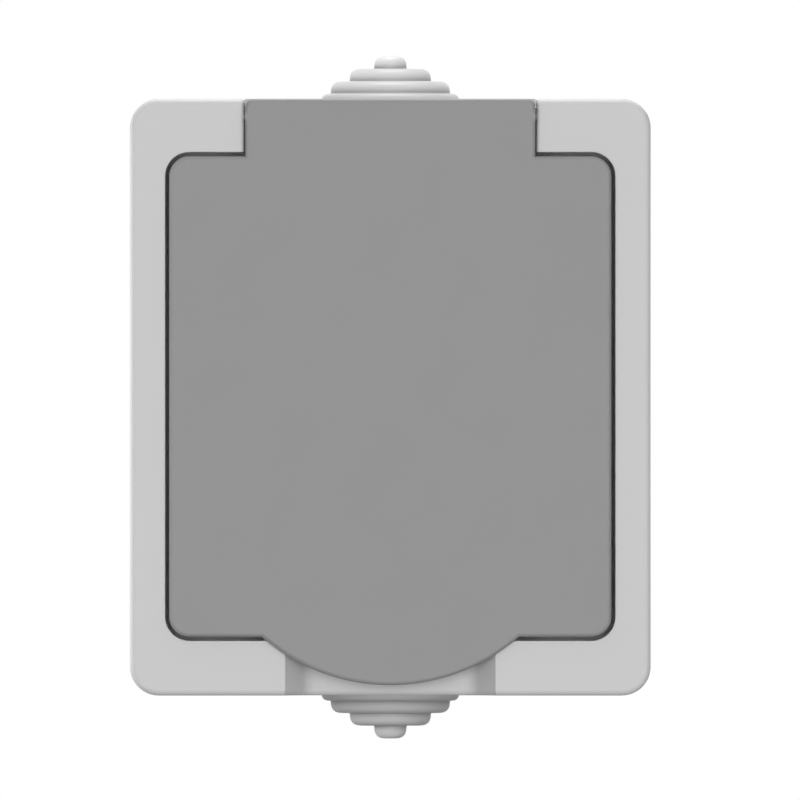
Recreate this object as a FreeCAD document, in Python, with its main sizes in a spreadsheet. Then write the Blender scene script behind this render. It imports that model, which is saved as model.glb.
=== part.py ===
import FreeCAD, Part
import math
import os
import Sketcher

# Surface-mounted outdoor socket with a sprung, sealed lid, in millimetres.
# +X is right seen from the front, the front faces -Y, +Z is up, and the
# origin is the centre of the housing's back face, where it meets the wall.
# "Depth" is the distance in front of the wall, so a depth D lies at y = -D.

os.makedirs("parts", exist_ok=True)
doc = FreeCAD.newDocument("OutdoorSocket")

# Driving sizes, written once, in millimetres unless the name says otherwise
SIZES = {
    # depths, from the wall to the front
    "box_floor": 2.4,
    "insert_room": 4.4,
    "rear_plate_wall": 2.4,
    "strip_wall": 0.8,
    "contact_lift": 2.2,
    "contact_wall": 0.6,
    "terminal_height": 8.0,
    "terminal_head_height": 1.6,
    "terminal_cover": 1.8,
    "shutter_room": 5.3,
    "well_floor_wall": 2.5,
    "well_depth": 17.5,
    "lid_seal_gap": 0.1,
    "lid_seal_height": 2.0,
    "lid_plate": 2.4,
    "lid_proud": 1.4,
    "well_proud": 4.7,
    "window_floor_wall": 2.2,
    "box_drop": 9.6,
    "seal_height": 1.0,
    "lap_length": 3.0,
    # plug well
    "well_rim_radius": 21.6,
    "well_taper": 1.4,
    "well_wall": 2.0,
    "well_rim_edge": 0.5,
    "well_hole_gap": 0.4,
    "flange_height": 1.6,
    "flange_lip": 0.6,
    "flange_seal_ledge": 0.4,
    "flange_seal_width": 2.0,
    "flange_seal_height": 0.8,
    "flange_seal_gap": 0.15,
    "plug_pin_spacing": 19.0,
    "plug_pin_hole_radius": 2.6,
    "guide_rib_width": 4.6,
    "guide_rib_proud": 2.4,
    "guide_rib_drop": 4.5,
    "ledge_height": 1.0,
    "ledge_width": 2.9,
    "face_gap": 0.15,
    "clip_slot_width": 6.4,
    "clip_slot_gap": 0.4,
    # front cover, its window and the finger scoop
    "window_side_room": 4.1,
    "window_top_room": 6.85,
    "frame_side": 4.9,
    "frame_top": 7.4,
    "frame_bottom": 7.6,
    "cover_corner": 4.0,
    "cover_wall": 2.2,
    "face_round": 0.8,
    "lap_wall": 1.0,
    "lap_gap": 0.2,
    "window_corner": 3.3,
    "window_round": 0.15,
    "scoop_width": 29.1,
    "scoop_rise": 3.4,
    "scoop_slope": 3.2,
    "scoop_round": 2.4,
    # box on the wall
    "box_wall": 2.2,
    "seal_width": 1.5,
    "seal_inset": 0.1,
    "fixing_inset": 7.85,
    "fixing_slot_width": 4.6,
    "fixing_slot_length": 8.0,
    "fixing_pad_height": 0.8,
    "fixing_pad_border": 2.4,
    # cover screws, their columns and seals
    "screw_inset": 4.75,
    "column_radius": 3.5,
    "column_drop": 3.5,
    "column_gap": 0.3,
    "web_wall": 1.4,
    "screw_radius": 1.9,
    "screw_core_gap": 0.05,
    "screw_core_end": 2.4,
    "screw_hole_gap": 0.35,
    "screw_bite": 8.6,
    "screw_head_radius": 3.4,
    "screw_head_height": 2.2,
    "screw_head_edge": 0.6,
    "screw_well_radius": 4.1,
    "screw_well_depth": 0.7,
    "screw_seal_height": 0.8,
    "screw_seal_radius": 3.8,
    "drive_width": 0.9,
    "drive_length": 3.8,
    "drive_depth": 1.2,
    # lid
    "lid_gap": 0.55,
    "lid_skirt_wall": 1.6,
    "lid_skirt_height": 3.0,
    "lid_round": 0.5,
    "lid_rib_wall": 1.0,
    "lid_rib_height": 1.4,
    "tab_radius": 27.0,
    "tab_margin": 1.45,
    "tab_gap": 0.15,
    "lid_seal_inner_lap": 1.0,
    "lid_seal_outer_lap": 1.2,
    "seal_ring_wall": 1.2,
    "seal_ring_gap": 0.2,
    "seal_ring_height": 1.2,
    # hinge
    "neck_inset": 11.05,
    "neck_gap": 0.12,
    "slot_relief": 0.9,
    "neck_corner": 1.1,
    "ear_corner": 0.6,
    "barrel_skin": 0.8,
    "nose_stop": 0.65,
    "pin_radius": 0.75,
    "pin_gap": 0.05,
    "pin_seat": 3.0,
    # lid spring on the pin
    "coil_play": 0.4,
    "coil_wire": 0.2,
    "coil_pitch": 0.75,
    "coil_turns": 6.0,
    "coil_pocket_play": 0.15,
    "coil_end_gap": 0.45,
    "tang_length": 1.8,
    "tang_gap": 0.05,
    # centre screw
    "centre_screw_radius": 1.45,
    "centre_screw_gap": 0.05,
    "centre_hole_gap": 0.35,
    "centre_screw_end": 4.0,
    "centre_head_radius": 3.3,
    "centre_head_height": 1.5,
    "centre_head_gap": 0.3,
    "centre_post_radius": 3.2,
    "centre_post_gap": 0.1,
    # contact carrier
    "carrier_side": 4.8,
    "carrier_end": 1.8,
    "arm_cover": 2.3,
    "carrier_corner": 2.5,
    "ear_rise": 4.0,
    "ear_wall": 3.0,
    "ear_border": 3.5,
    "ear_width": 9.0,
    "post_inset": 6.6,
    "post_radius": 3.2,
    "post_screw_radius": 1.45,
    "post_screw_gap": 0.05,
    "post_hole_gap": 0.3,
    "post_screw_length": 10.0,
    "post_head_radius": 2.8,
    "post_head_height": 1.8,
    # contacts, terminals and rivets
    "contact_gap": 4.6,
    "contact_width": 6.0,
    "contact_inset": 0.8,
    "contact_mouth": 0.9,
    "pocket_gap": 0.2,
    "terminal_size": 7.0,
    "terminal_wire_radius": 1.6,
    "terminal_wire_height": 3.0,
    "terminal_screw_radius": 1.45,
    "terminal_screw_gap": 0.05,
    "terminal_head_radius": 2.3,
    "terminal_head_gap": 0.3,
    "earth_terminal_x": 11.0,
    "earth_terminal_inset": 1.0,
    "rivet_radius": 1.2,
    "rivet_gap": 0.05,
    "rivet_head_radius": 2.1,
    "rivet_head_height": 0.8,
    "rivet_head_gap": 0.15,
    "rivet_low_inset": 2.0,
    "rivet_high_inset": 6.0,
    # earth bracket
    "strip_width": 5.0,
    "strip_arm_inset": 1.5,
    "strip_bend_rise": 1.5,
    "strip_nip": 2.3,
    "strip_nip_rise": 7.0,
    "strip_flare": 1.9,
    "strip_end_rise": 13.0,
    "strip_notch_gap": 0.5,
    # shutter behind the plug pin holes
    "shutter_low_gap": 0.25,
    "shutter_high_gap": 0.35,
    "shutter_border": 1.1,
    "shutter_head": 3.6,
    "shutter_foot": 2.2,
    "shutter_overrun": 0.3,
    "shutter_slot_gap": 0.25,
    "shutter_window_gap": 0.3,
    "shutter_lip": 0.5,
    "rail_gap": 0.2,
    "rail_wall": 1.6,
    "rail_overrun": 1.0,
    "return_coil_radius": 1.4,
    "return_coil_wire": 0.2,
    "return_coil_turns": 7.0,
    "return_coil_room": 1.1,
    "stop_wall": 1.6,
    "stop_width": 6.0,
    "spigot_radius": 0.9,
    "spigot_length": 2.4,
    # cable entries
    "entry_clear": 3.4,
    "entry_radius": 8.0,
    "grommet_neck_gap": 0.1,
    "grommet_lip_lap": 1.2,
    "grommet_lip_height": 1.2,
    "grommet_flange_lap": 1.6,
    "grommet_flange_height": 2.2,
    "grommet_step_in": 1.3,
    "grommet_step_height": 1.7,
    "grommet_ring_in": 2.65,
    "grommet_ring_height": 1.75,
    "grommet_tip_in": 3.4,
    "grommet_tip_height": 1.8,
    "grommet_edge": 0.8,
    "grommet_wall": 1.4,
    "grommet_skin": 0.9,
}

sheet = doc.addObject("Spreadsheet::Sheet", "Sizes")
for row, (alias, number) in enumerate(SIZES.items(), start=1):
    sheet.set("A%d" % row, alias)
    sheet.set("B%d" % row, str(number))
    sheet.setAlias("B%d" % row, alias)
doc.recompute()


class Size:
    """A length: its number now, and the formula over the sheet that gives it."""

    def __init__(self, number, formula):
        self.number = float(number)
        self.formula = formula

    def __add__(self, other):
        other = size(other)
        return Size(self.number + other.number, "(%s + %s)" % (self.formula, other.formula))

    def __sub__(self, other):
        other = size(other)
        return Size(self.number - other.number, "(%s - %s)" % (self.formula, other.formula))

    def __mul__(self, other):
        other = size(other)
        return Size(self.number * other.number, "(%s * %s)" % (self.formula, other.formula))

    def __truediv__(self, other):
        other = size(other)
        return Size(self.number / other.number, "(%s / %s)" % (self.formula, other.formula))

    def __neg__(self):
        return Size(-self.number, "(0 - %s)" % self.formula)

    def __radd__(self, other):
        return size(other) + self

    def __rsub__(self, other):
        return size(other) - self

    def __rmul__(self, other):
        return size(other) * self


def size(value):
    """A value as a Size; a bare number is its own formula."""
    if isinstance(value, Size):
        return value
    return Size(value, "%.10g" % value)


class Sheet:
    """Reads each alias of the spreadsheet as a Size of the same name."""

    def __getattr__(self, alias):
        return Size(getattr(sheet, alias), "Sizes." + alias)


v = Sheet()

# Planes of a body that sketches lie on, seen as their own two directions:
# FRONT is x and z at a depth, SIDE is y and z at an x, PLAN is x and y at a z
FRONT = "XZ_Plane"
SIDE = "YZ_Plane"
PLAN = "XY_Plane"
ORIGIN_POINT = (-1, 1)

bodies = {}


def new_body(label):
    """Starts the body of one piece; its label is the piece's name."""
    body = doc.addObject("PartDesign::Body", label)
    body.Label = label
    bodies[label] = body
    return body


def new_sketch(body, plane, height):
    """Starts a sketch at a height over one of the body's own origin planes."""
    support = [item for item in body.Origin.OriginFeatures if item.Role == plane][0]
    sketch = body.newObject("Sketcher::SketchObject", body.Label + "_outline")
    sketch.AttachmentSupport = (support, [""])
    sketch.MapMode = "FlatFace"
    sketch.setExpression("AttachmentOffset.Base.z", size(height).formula)
    return sketch


def bind(sketch, constraint, value):
    """Adds a sized constraint that follows the sheet."""
    index = sketch.addConstraint(constraint)
    sketch.setExpression("Constraints[%d]" % index, size(value).formula)


def fix_point(sketch, curve, end, x, y):
    """Ties one point of a curve to its two coordinates."""
    x, y = size(x), size(y)
    bind(sketch, Sketcher.Constraint("DistanceX", *ORIGIN_POINT, curve, end, x.number), x)
    bind(sketch, Sketcher.Constraint("DistanceY", *ORIGIN_POINT, curve, end, y.number), y)


def vector(x, y):
    return FreeCAD.Vector(size(x).number, size(y).number, 0)


def circle(x, y, radius):
    """A drawing step: a circle round a point."""
    def draw(sketch):
        shape = Part.Circle(vector(x, y), FreeCAD.Vector(0, 0, 1), size(radius).number)
        curve = sketch.addGeometry(shape, False)
        fix_point(sketch, curve, 3, x, y)
        bind(sketch, Sketcher.Constraint("Radius", curve, size(radius).number), radius)
    return draw


def polygon(points):
    """A drawing step: a closed outline of straight lines through the points."""
    def draw(sketch):
        count = len(points)
        ends = [vector(*point) for point in points]
        lines = [Part.LineSegment(ends[i], ends[(i + 1) % count]) for i in range(count)]
        first = sketch.addGeometry(lines, False)[0]
        for i in range(count):
            following = first + (i + 1) % count
            sketch.addConstraint(Sketcher.Constraint("Coincident", first + i, 2, following, 1))
            fix_point(sketch, first + i, 1, *points[i])
    return draw


def rectangle(x0, x1, y0, y1):
    """A drawing step: a rectangle between two pairs of coordinates."""
    return polygon([(x0, y0), (x1, y0), (x1, y1), (x0, y1)])


def rounded(x0, x1, y0, y1, corner):
    """A drawing step: a rectangle whose four corners are round."""
    def draw(sketch):
        left, right, low, high, turn = [size(value) for value in (x0, x1, y0, y1, corner)]
        centres = [
            (right - turn, low + turn, -90),
            (right - turn, high - turn, 0),
            (left + turn, high - turn, 90),
            (left + turn, low + turn, 180),
        ]
        arcs = []
        for x, y, start in centres:
            ring = Part.Circle(vector(x, y), FreeCAD.Vector(0, 0, 1), turn.number)
            angle = math.radians(start)
            arcs.append(Part.ArcOfCircle(ring, angle, angle + math.pi / 2))
        lines = [Part.LineSegment(arcs[i - 1].EndPoint, arcs[i].StartPoint) for i in range(4)]
        first = sketch.addGeometry(lines + arcs, False)[0]
        for i in range(4):
            line, arc, line_after = first + i, first + 4 + i, first + (i + 1) % 4
            sketch.addConstraint(Sketcher.Constraint("Tangent", line, 2, arc, 1))
            sketch.addConstraint(Sketcher.Constraint("Tangent", arc, 2, line_after, 1))
            fix_point(sketch, arc, 3, centres[i][0], centres[i][1])
        bind(sketch, Sketcher.Constraint("Radius", first + 4, turn.number), turn)
    return draw


def slot_hole(x, y, width, length):
    """A drawing step: an upright slot with round ends."""
    def draw(sketch):
        end = size(width) / 2
        reach = (size(length) - size(width)) / 2
        up = FreeCAD.Vector(0, 0, 1)
        top = Part.ArcOfCircle(Part.Circle(vector(x, y + reach), up, end.number), 0, math.pi)
        low = Part.ArcOfCircle(Part.Circle(vector(x, y - reach), up, end.number), math.pi, 2 * math.pi)
        left = Part.LineSegment(top.EndPoint, low.StartPoint)
        right = Part.LineSegment(low.EndPoint, top.StartPoint)
        first = sketch.addGeometry([top, left, low, right], False)[0]
        for i in range(4):
            following = first + (i + 1) % 4
            sketch.addConstraint(Sketcher.Constraint("Tangent", first + i, 2, following, 1))
        fix_point(sketch, first, 3, x, y + reach)
        fix_point(sketch, first + 2, 3, x, y - reach)
        bind(sketch, Sketcher.Constraint("Radius", first, end.number), end)
    return draw


def settle(body, feature, before):
    """Recomputes, and raises if the feature failed or changed nothing."""
    doc.recompute()
    shape = feature.Shape
    if "Invalid" in feature.State or "Error" in feature.State or shape.isNull():
        raise RuntimeError("%s: %s failed" % (body.Label, feature.Name))
    if abs(shape.Volume - before) < 1e-4:
        raise RuntimeError("%s: %s changes nothing" % (body.Label, feature.Name))


def volume_now(body):
    return body.Shape.Volume if body.Tip else 0.0


def extrude(body, kind, plane, low, high, steps):
    """Pads or pockets the drawn outlines between two heights over a plane."""
    before = volume_now(body)
    sketch = new_sketch(body, plane, low if kind == "Pad" else high)
    for draw in steps:
        draw(sketch)
    feature = body.newObject("PartDesign::" + kind, body.Label + "_" + kind.lower())
    feature.Profile = sketch
    feature.setExpression("Length", (size(high) - size(low)).formula)
    settle(body, feature, before)
    if kind == "Pocket" and feature.Shape.Volume > before:
        raise RuntimeError("%s: %s adds material" % (body.Label, feature.Name))
    return feature


def add(body, plane, low, high, *steps):
    """Adds material between two heights."""
    return extrude(body, "Pad", plane, low, high, steps)


def cut(body, plane, low, high, *steps):
    """Takes material away between two heights."""
    return extrude(body, "Pocket", plane, low, high, steps)


def turn(body, kind, plane, axis, *steps):
    """Turns the drawn outline once round an axis of its own plane."""
    before = volume_now(body)
    sketch = new_sketch(body, plane, 0)
    for draw in steps:
        draw(sketch)
    feature = body.newObject("PartDesign::" + kind, body.Label + "_" + kind.lower())
    feature.Profile = sketch
    feature.ReferenceAxis = (sketch, [axis])
    settle(body, feature, before)
    return feature


def dress(body, kind, role, amount, wanted):
    """Works on the edges of the body's tip that the test picks out."""
    before = volume_now(body)
    tip = body.Tip
    names = ["Edge%d" % i for i, edge in enumerate(tip.Shape.Edges, start=1) if wanted(edge)]
    if not names:
        raise RuntimeError("%s: no edge to work on" % body.Label)
    feature = body.newObject("PartDesign::" + kind, body.Label + "_" + kind.lower())
    feature.Base = (tip, names)
    feature.setExpression(role, size(amount).formula)
    settle(body, feature, before)
    return feature


def round_edges(body, radius, wanted):
    """Fillets the edges that the test picks out."""
    return dress(body, "Fillet", "Radius", radius, wanted)


def bevel_edges(body, width, wanted):
    """Chamfers the edges that the test picks out."""
    return dress(body, "Chamfer", "Size", width, wanted)


def near(value, target, tolerance=1e-3):
    return abs(value - size(target).number) < tolerance


def at_depth(edge, depth):
    """True for an edge that lies wholly at one depth."""
    box = edge.BoundBox
    return near(-box.YMin, depth) and near(-box.YMax, depth)


def at_height(edge, height):
    """True for an edge that lies wholly at one height."""
    box = edge.BoundBox
    return near(box.ZMin, height) and near(box.ZMax, height)


# Depths in front of the wall, worked out as a chain from the wall forwards
plate_back = v.box_floor + v.insert_room
strip_back = plate_back + v.rear_plate_wall
carrier_back = strip_back + v.strip_wall
contact_base = carrier_back + v.contact_lift
terminal_base = contact_base + v.contact_wall
head_top = terminal_base + v.terminal_height + v.terminal_head_height
carrier_front = head_top + v.terminal_cover
contact_top = carrier_front - v.contact_inset
ear_low = carrier_back + v.ear_rise
ear_high = ear_low + v.ear_wall
well_back = carrier_front + v.shutter_room
post_top = well_back - v.centre_post_gap
centre_screw_tip = carrier_back + v.centre_screw_end
shutter_low = carrier_front + v.shutter_low_gap
shutter_high = well_back - v.shutter_high_gap
return_coil_depth = (shutter_low + shutter_high) / 2
well_floor = well_back + v.well_floor_wall
ledge_high = well_back + v.ledge_height
well_rim = well_floor + v.well_depth
guide_rib_top = well_rim - v.guide_rib_drop
lid_back = well_rim + v.lid_seal_gap + v.lid_seal_height
lid_face = lid_back + v.lid_plate
face_depth = lid_face - v.lid_proud
skirt_back = lid_back - v.lid_skirt_height
window_floor = well_rim - v.well_proud
window_back = window_floor - v.window_floor_wall
scoop_floor = window_floor + v.scoop_rise
box_depth = window_back - v.box_drop
cover_back = box_depth - v.lap_length
column_split = box_depth - v.column_drop
screw_seat = window_floor - v.screw_well_depth
screw_tip = column_split - v.screw_bite

# Places across the front, worked out from the plug well outwards
well_floor_radius = v.well_rim_radius - v.well_taper
ledge_inner = well_floor_radius - v.ledge_width
well_hole_radius = v.well_rim_radius + v.well_wall + v.well_hole_gap
flange_seal_inner = well_hole_radius + v.flange_seal_ledge
flange_seal_outer = flange_seal_inner + v.flange_seal_width
flange_radius = flange_seal_outer + v.flange_lip
lid_seal_inner = v.well_rim_radius - v.lid_seal_inner_lap
lid_seal_outer = v.well_rim_radius + v.well_wall + v.lid_seal_outer_lap
window_x = flange_radius + v.window_side_room
window_high = flange_radius + v.window_top_room
cover_x = window_x + v.frame_side
cover_z = window_high + v.frame_top
window_low = v.frame_bottom - cover_z
box_x = cover_x - v.lap_wall - v.lap_gap
box_z = cover_z - v.lap_wall - v.lap_gap
box_corner = v.cover_corner - v.lap_wall - v.lap_gap
box_inner_x = box_x - v.box_wall
box_inner_z = box_z - v.box_wall
fixing_rows = [box_inner_z - v.fixing_inset, v.fixing_inset - box_inner_z]
screw_x = window_x - v.screw_inset
screw_places = [
    (-screw_x, window_low + v.screw_inset),
    (screw_x, window_low + v.screw_inset),
    (screw_x, window_high - v.screw_inset),
    (-screw_x, window_high - v.screw_inset),
]
lid_x = window_x - v.lid_gap
lid_low = window_low + v.lid_gap
lid_high = window_high - v.lid_gap
lid_corner = v.window_corner - v.lid_gap
tab_centre = v.tab_radius + v.tab_margin - cover_z

# Hinge: the pin, the coil round it, the coil's pocket and the barrel round that
coil_radius = v.pin_radius + v.coil_play + v.coil_wire
coil_pocket_radius = coil_radius + v.coil_wire + v.coil_pocket_play
barrel_radius = coil_pocket_radius + v.barrel_skin
hinge_z = cover_z - barrel_radius
hinge_depth = lid_face - barrel_radius
slot_floor = hinge_depth - barrel_radius - v.nose_stop
neck_x = window_x - v.neck_inset
slot_x = neck_x + v.neck_gap
pin_end = slot_x + v.pin_seat
pin_bore = v.pin_radius + v.pin_gap
coil_length = v.coil_pitch * v.coil_turns
coil_high = neck_x - v.coil_end_gap - v.coil_wire
coil_low = coil_high - coil_length
coil_pocket_low = coil_low - v.coil_wire - v.coil_end_gap
tang_hole = v.coil_wire + v.tang_gap

# Insert: earth strip, carrier, contacts, terminals and shutter
plug_pin_x = v.plug_pin_spacing / 2
terminal_half = v.terminal_size / 2
strip_arm = well_floor_radius - v.strip_arm_inset
strip_nip = strip_arm - v.strip_nip
strip_end = strip_nip + v.strip_flare
clip_slot_inner = strip_nip - v.strip_wall / 2 - v.clip_slot_gap
carrier_x = plug_pin_x + terminal_half + v.pocket_gap + v.carrier_side
carrier_z = strip_arm + v.arm_cover
terminal_drop = carrier_z - v.carrier_end - v.pocket_gap - terminal_half
earth_terminal_z = terminal_drop - v.earth_terminal_inset
terminal_places = {
    "line_terminal": (-plug_pin_x, -terminal_drop, terminal_base),
    "neutral_terminal": (plug_pin_x, -terminal_drop, terminal_base),
    "earth_terminal": (v.earth_terminal_x, earth_terminal_z, carrier_back),
}
rivet_rows = [v.rivet_low_inset - terminal_drop, terminal_drop - v.rivet_high_inset]
post_x = box_inner_x - v.post_inset
ear_reach = post_x + v.ear_border
shutter_window = v.plug_pin_hole_radius + v.shutter_window_gap
shutter_travel = v.plug_pin_hole_radius * 2 + v.shutter_overrun
shutter_x = plug_pin_x + shutter_window + v.shutter_border
shutter_top = shutter_window + v.shutter_head
shutter_bottom = shutter_window + shutter_travel + v.shutter_foot
rail_top = shutter_top + shutter_travel + v.rail_overrun
return_coil_stop = strip_arm - v.strip_wall / 2 - v.return_coil_room - v.stop_wall

# Cable entries: each step of the rubber is smaller than the one below it
grommet_flange_radius = v.entry_radius + v.grommet_flange_lap
grommet_step_radius = grommet_flange_radius - v.grommet_step_in
grommet_ring_radius = grommet_step_radius - v.grommet_ring_in
grommet_tip_radius = grommet_ring_radius - v.grommet_tip_in
grommet_flange_top = box_z + v.grommet_flange_height
grommet_step_top = grommet_flange_top + v.grommet_step_height
grommet_ring_top = grommet_step_top + v.grommet_ring_height
grommet_tip_top = grommet_ring_top + v.grommet_tip_height
entry_depth = cover_back - grommet_flange_radius - v.entry_clear
BEYOND = 1.0
HEXAGON_SIDE = math.sqrt(3) / 2


def make_back_box():
    """Open box on the wall, with columns for the cover and posts for the insert."""
    body = new_body("back_box")
    outline = rounded(-box_x, box_x, -box_z, box_z, box_corner)
    add(body, FRONT, 0, box_depth, outline)
    inside = rounded(-box_inner_x, box_inner_x, -box_inner_z, box_inner_z, box_corner / 2)
    cut(body, FRONT, v.box_floor, box_depth, inside)

    # screw columns in the corners, each with a web to the side wall
    columns = [circle(x, z, v.column_radius) for x, z in screw_places]
    add(body, FRONT, v.box_floor / 2, column_split, *columns)
    for x, z in screw_places:
        outer = box_x - v.box_wall / 2
        web_x = (x, outer) if x.number > 0 else (-outer, x)
        web = rectangle(*web_x, z - v.web_wall / 2, z + v.web_wall / 2)
        add(body, FRONT, v.box_floor / 2, column_split - v.column_radius, web)
    core = v.screw_radius + v.screw_core_gap
    cores = [circle(x, z, core) for x, z in screw_places]
    cut(body, FRONT, screw_tip - v.screw_core_end, column_split, *cores)

    # posts that carry the insert, tied to the side walls
    for side in (-1, 1):
        outer = box_x - v.box_wall / 2
        add(body, FRONT, v.box_floor / 2, ear_low, circle(side * post_x, 0, v.post_radius))
        web_x = (post_x, outer) if side > 0 else (-outer, -post_x)
        web = rectangle(*web_x, -v.web_wall / 2, v.web_wall / 2)
        add(body, FRONT, v.box_floor / 2, ear_low - v.post_radius, web)
    post_core = v.post_screw_radius + v.post_screw_gap
    post_holes = [circle(side * post_x, 0, post_core) for side in (-1, 1)]
    cut(body, FRONT, v.box_floor, ear_low, *post_holes)

    # raised pads and slots for the wall screws
    pad_width = v.fixing_slot_width + v.fixing_pad_border * 2
    pad_length = v.fixing_slot_length + v.fixing_pad_border * 2
    pads = [slot_hole(0, z, pad_width, pad_length) for z in fixing_rows]
    add(body, FRONT, v.box_floor / 2, v.box_floor + v.fixing_pad_height, *pads)
    slots = [slot_hole(0, z, v.fixing_slot_width, v.fixing_slot_length) for z in fixing_rows]
    cut(body, FRONT, -BEYOND, v.box_floor + v.fixing_pad_height + BEYOND, *slots)

    # cable entries through the top and bottom walls
    cut(body, PLAN, -box_z - BEYOND, box_z + BEYOND, circle(0, -entry_depth, v.entry_radius))
    return body


def make_front_cover():
    """Moulded cover: frame face, window for the lid, hinge slot and finger scoop."""
    body = new_body("front_cover")
    outline = rounded(-cover_x, cover_x, -cover_z, cover_z, v.cover_corner)
    add(body, FRONT, cover_back, face_depth, outline)

    # finger scoop: a trough with sloping sides, open to the bottom edge
    wide = v.scoop_width / 2
    narrow = wide - v.scoop_slope
    trough = polygon([(-wide, -face_depth), (-narrow, -scoop_floor),
                      (narrow, -scoop_floor), (wide, -face_depth)])
    cut(body, PLAN, -cover_z - BEYOND, window_low + v.window_corner, trough)
    round_edges(body, v.scoop_round, lambda edge: is_scoop_valley(edge, narrow))
    round_edges(body, v.face_round, lambda edge: is_face_outline(edge, wide))

    # hollow from behind, and the lap that fits over the box
    inner_x = cover_x - v.cover_wall
    inner_z = cover_z - v.cover_wall
    inside = rounded(-inner_x, inner_x, -inner_z, inner_z, v.cover_corner / 2)
    cut(body, FRONT, cover_back, window_back, inside)
    lap_x = cover_x - v.lap_wall
    lap_z = cover_z - v.lap_wall
    shoulder = box_depth + v.seal_height
    lap = rounded(-lap_x, lap_x, -lap_z, lap_z, v.cover_corner - v.lap_wall)
    cut(body, FRONT, cover_back, shoulder, lap)

    # window with the round hole for the plug well
    window = rounded(-window_x, window_x, window_low, window_high, v.window_corner)
    cut(body, FRONT, window_floor, face_depth, window)
    cut(body, FRONT, window_back, window_floor, circle(0, 0, well_hole_radius))

    # hinge slot, open to the top edge, and a hollow behind it
    slot = rectangle(-slot_x, slot_x, window_high - v.window_corner, cover_z + BEYOND)
    cut(body, FRONT, slot_floor, face_depth, slot)
    relief = rectangle(-slot_x, slot_x, cover_z - v.slot_relief, cover_z + BEYOND)
    cut(body, FRONT, shoulder + v.lap_wall, slot_floor, relief)
    bar_low = window_high + v.cover_wall
    upper_hollow = rectangle(-inner_x + BEYOND, inner_x - BEYOND, bar_low, inner_z)
    cut(body, FRONT, window_back, slot_floor - v.cover_wall, upper_hollow)

    # tubes behind the window floor that meet the box's columns
    tubes = [circle(x, z, v.column_radius) for x, z in screw_places]
    tube_end = column_split + v.column_gap
    add(body, FRONT, tube_end, window_back + v.window_floor_wall / 2, *tubes)
    holes = [circle(x, z, v.screw_radius + v.screw_hole_gap) for x, z in screw_places]
    cut(body, FRONT, tube_end, window_floor, *holes)
    wells = [circle(x, z, v.screw_well_radius) for x, z in screw_places]
    cut(body, FRONT, screw_seat, window_floor, *wells)

    # pin bore: blind in the left ear, open through the right one to push the pin in
    bore = circle(-hinge_depth, hinge_z, pin_bore)
    cut(body, SIDE, -pin_end - v.pin_gap, cover_x + BEYOND, bore)
    tang = circle(-hinge_depth, hinge_z + coil_radius, tang_hole)
    cut(body, SIDE, slot_x, slot_x + v.tang_length, tang)

    # softened edges: ear corners beside the neck, then the window's rim
    round_edges(body, v.ear_corner, is_ear_corner)
    round_edges(body, v.window_round, is_window_rim)
    return body


def is_face_outline(edge, wide):
    """The outer edge of the face, and its way down into the scoop and up again."""
    box = edge.BoundBox
    outer = max(-box.XMin, box.XMax) > wide.number + 1e-3
    lip = at_height(edge, -cover_z) and -box.YMax > cover_back.number + 1e-3
    return lip or (outer and at_depth(edge, face_depth))


def is_scoop_valley(edge, narrow):
    """The two long edges where the trough's floor meets its sides."""
    box = edge.BoundBox
    return at_depth(edge, scoop_floor) and near(abs(box.XMin), narrow) and near(box.XLength, 0)


def is_ear_corner(edge):
    """The ears' upright corners at the top of the hinge slot."""
    box = edge.BoundBox
    return near(abs(box.XMin), slot_x) and near(box.XLength, 0) and at_height(edge, cover_z)


def is_window_rim(edge):
    """Front edges of the window's two sides."""
    box = edge.BoundBox
    side = near(abs(box.XMin), window_x) and near(box.XLength, 0)
    return side and at_depth(edge, face_depth)


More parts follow.
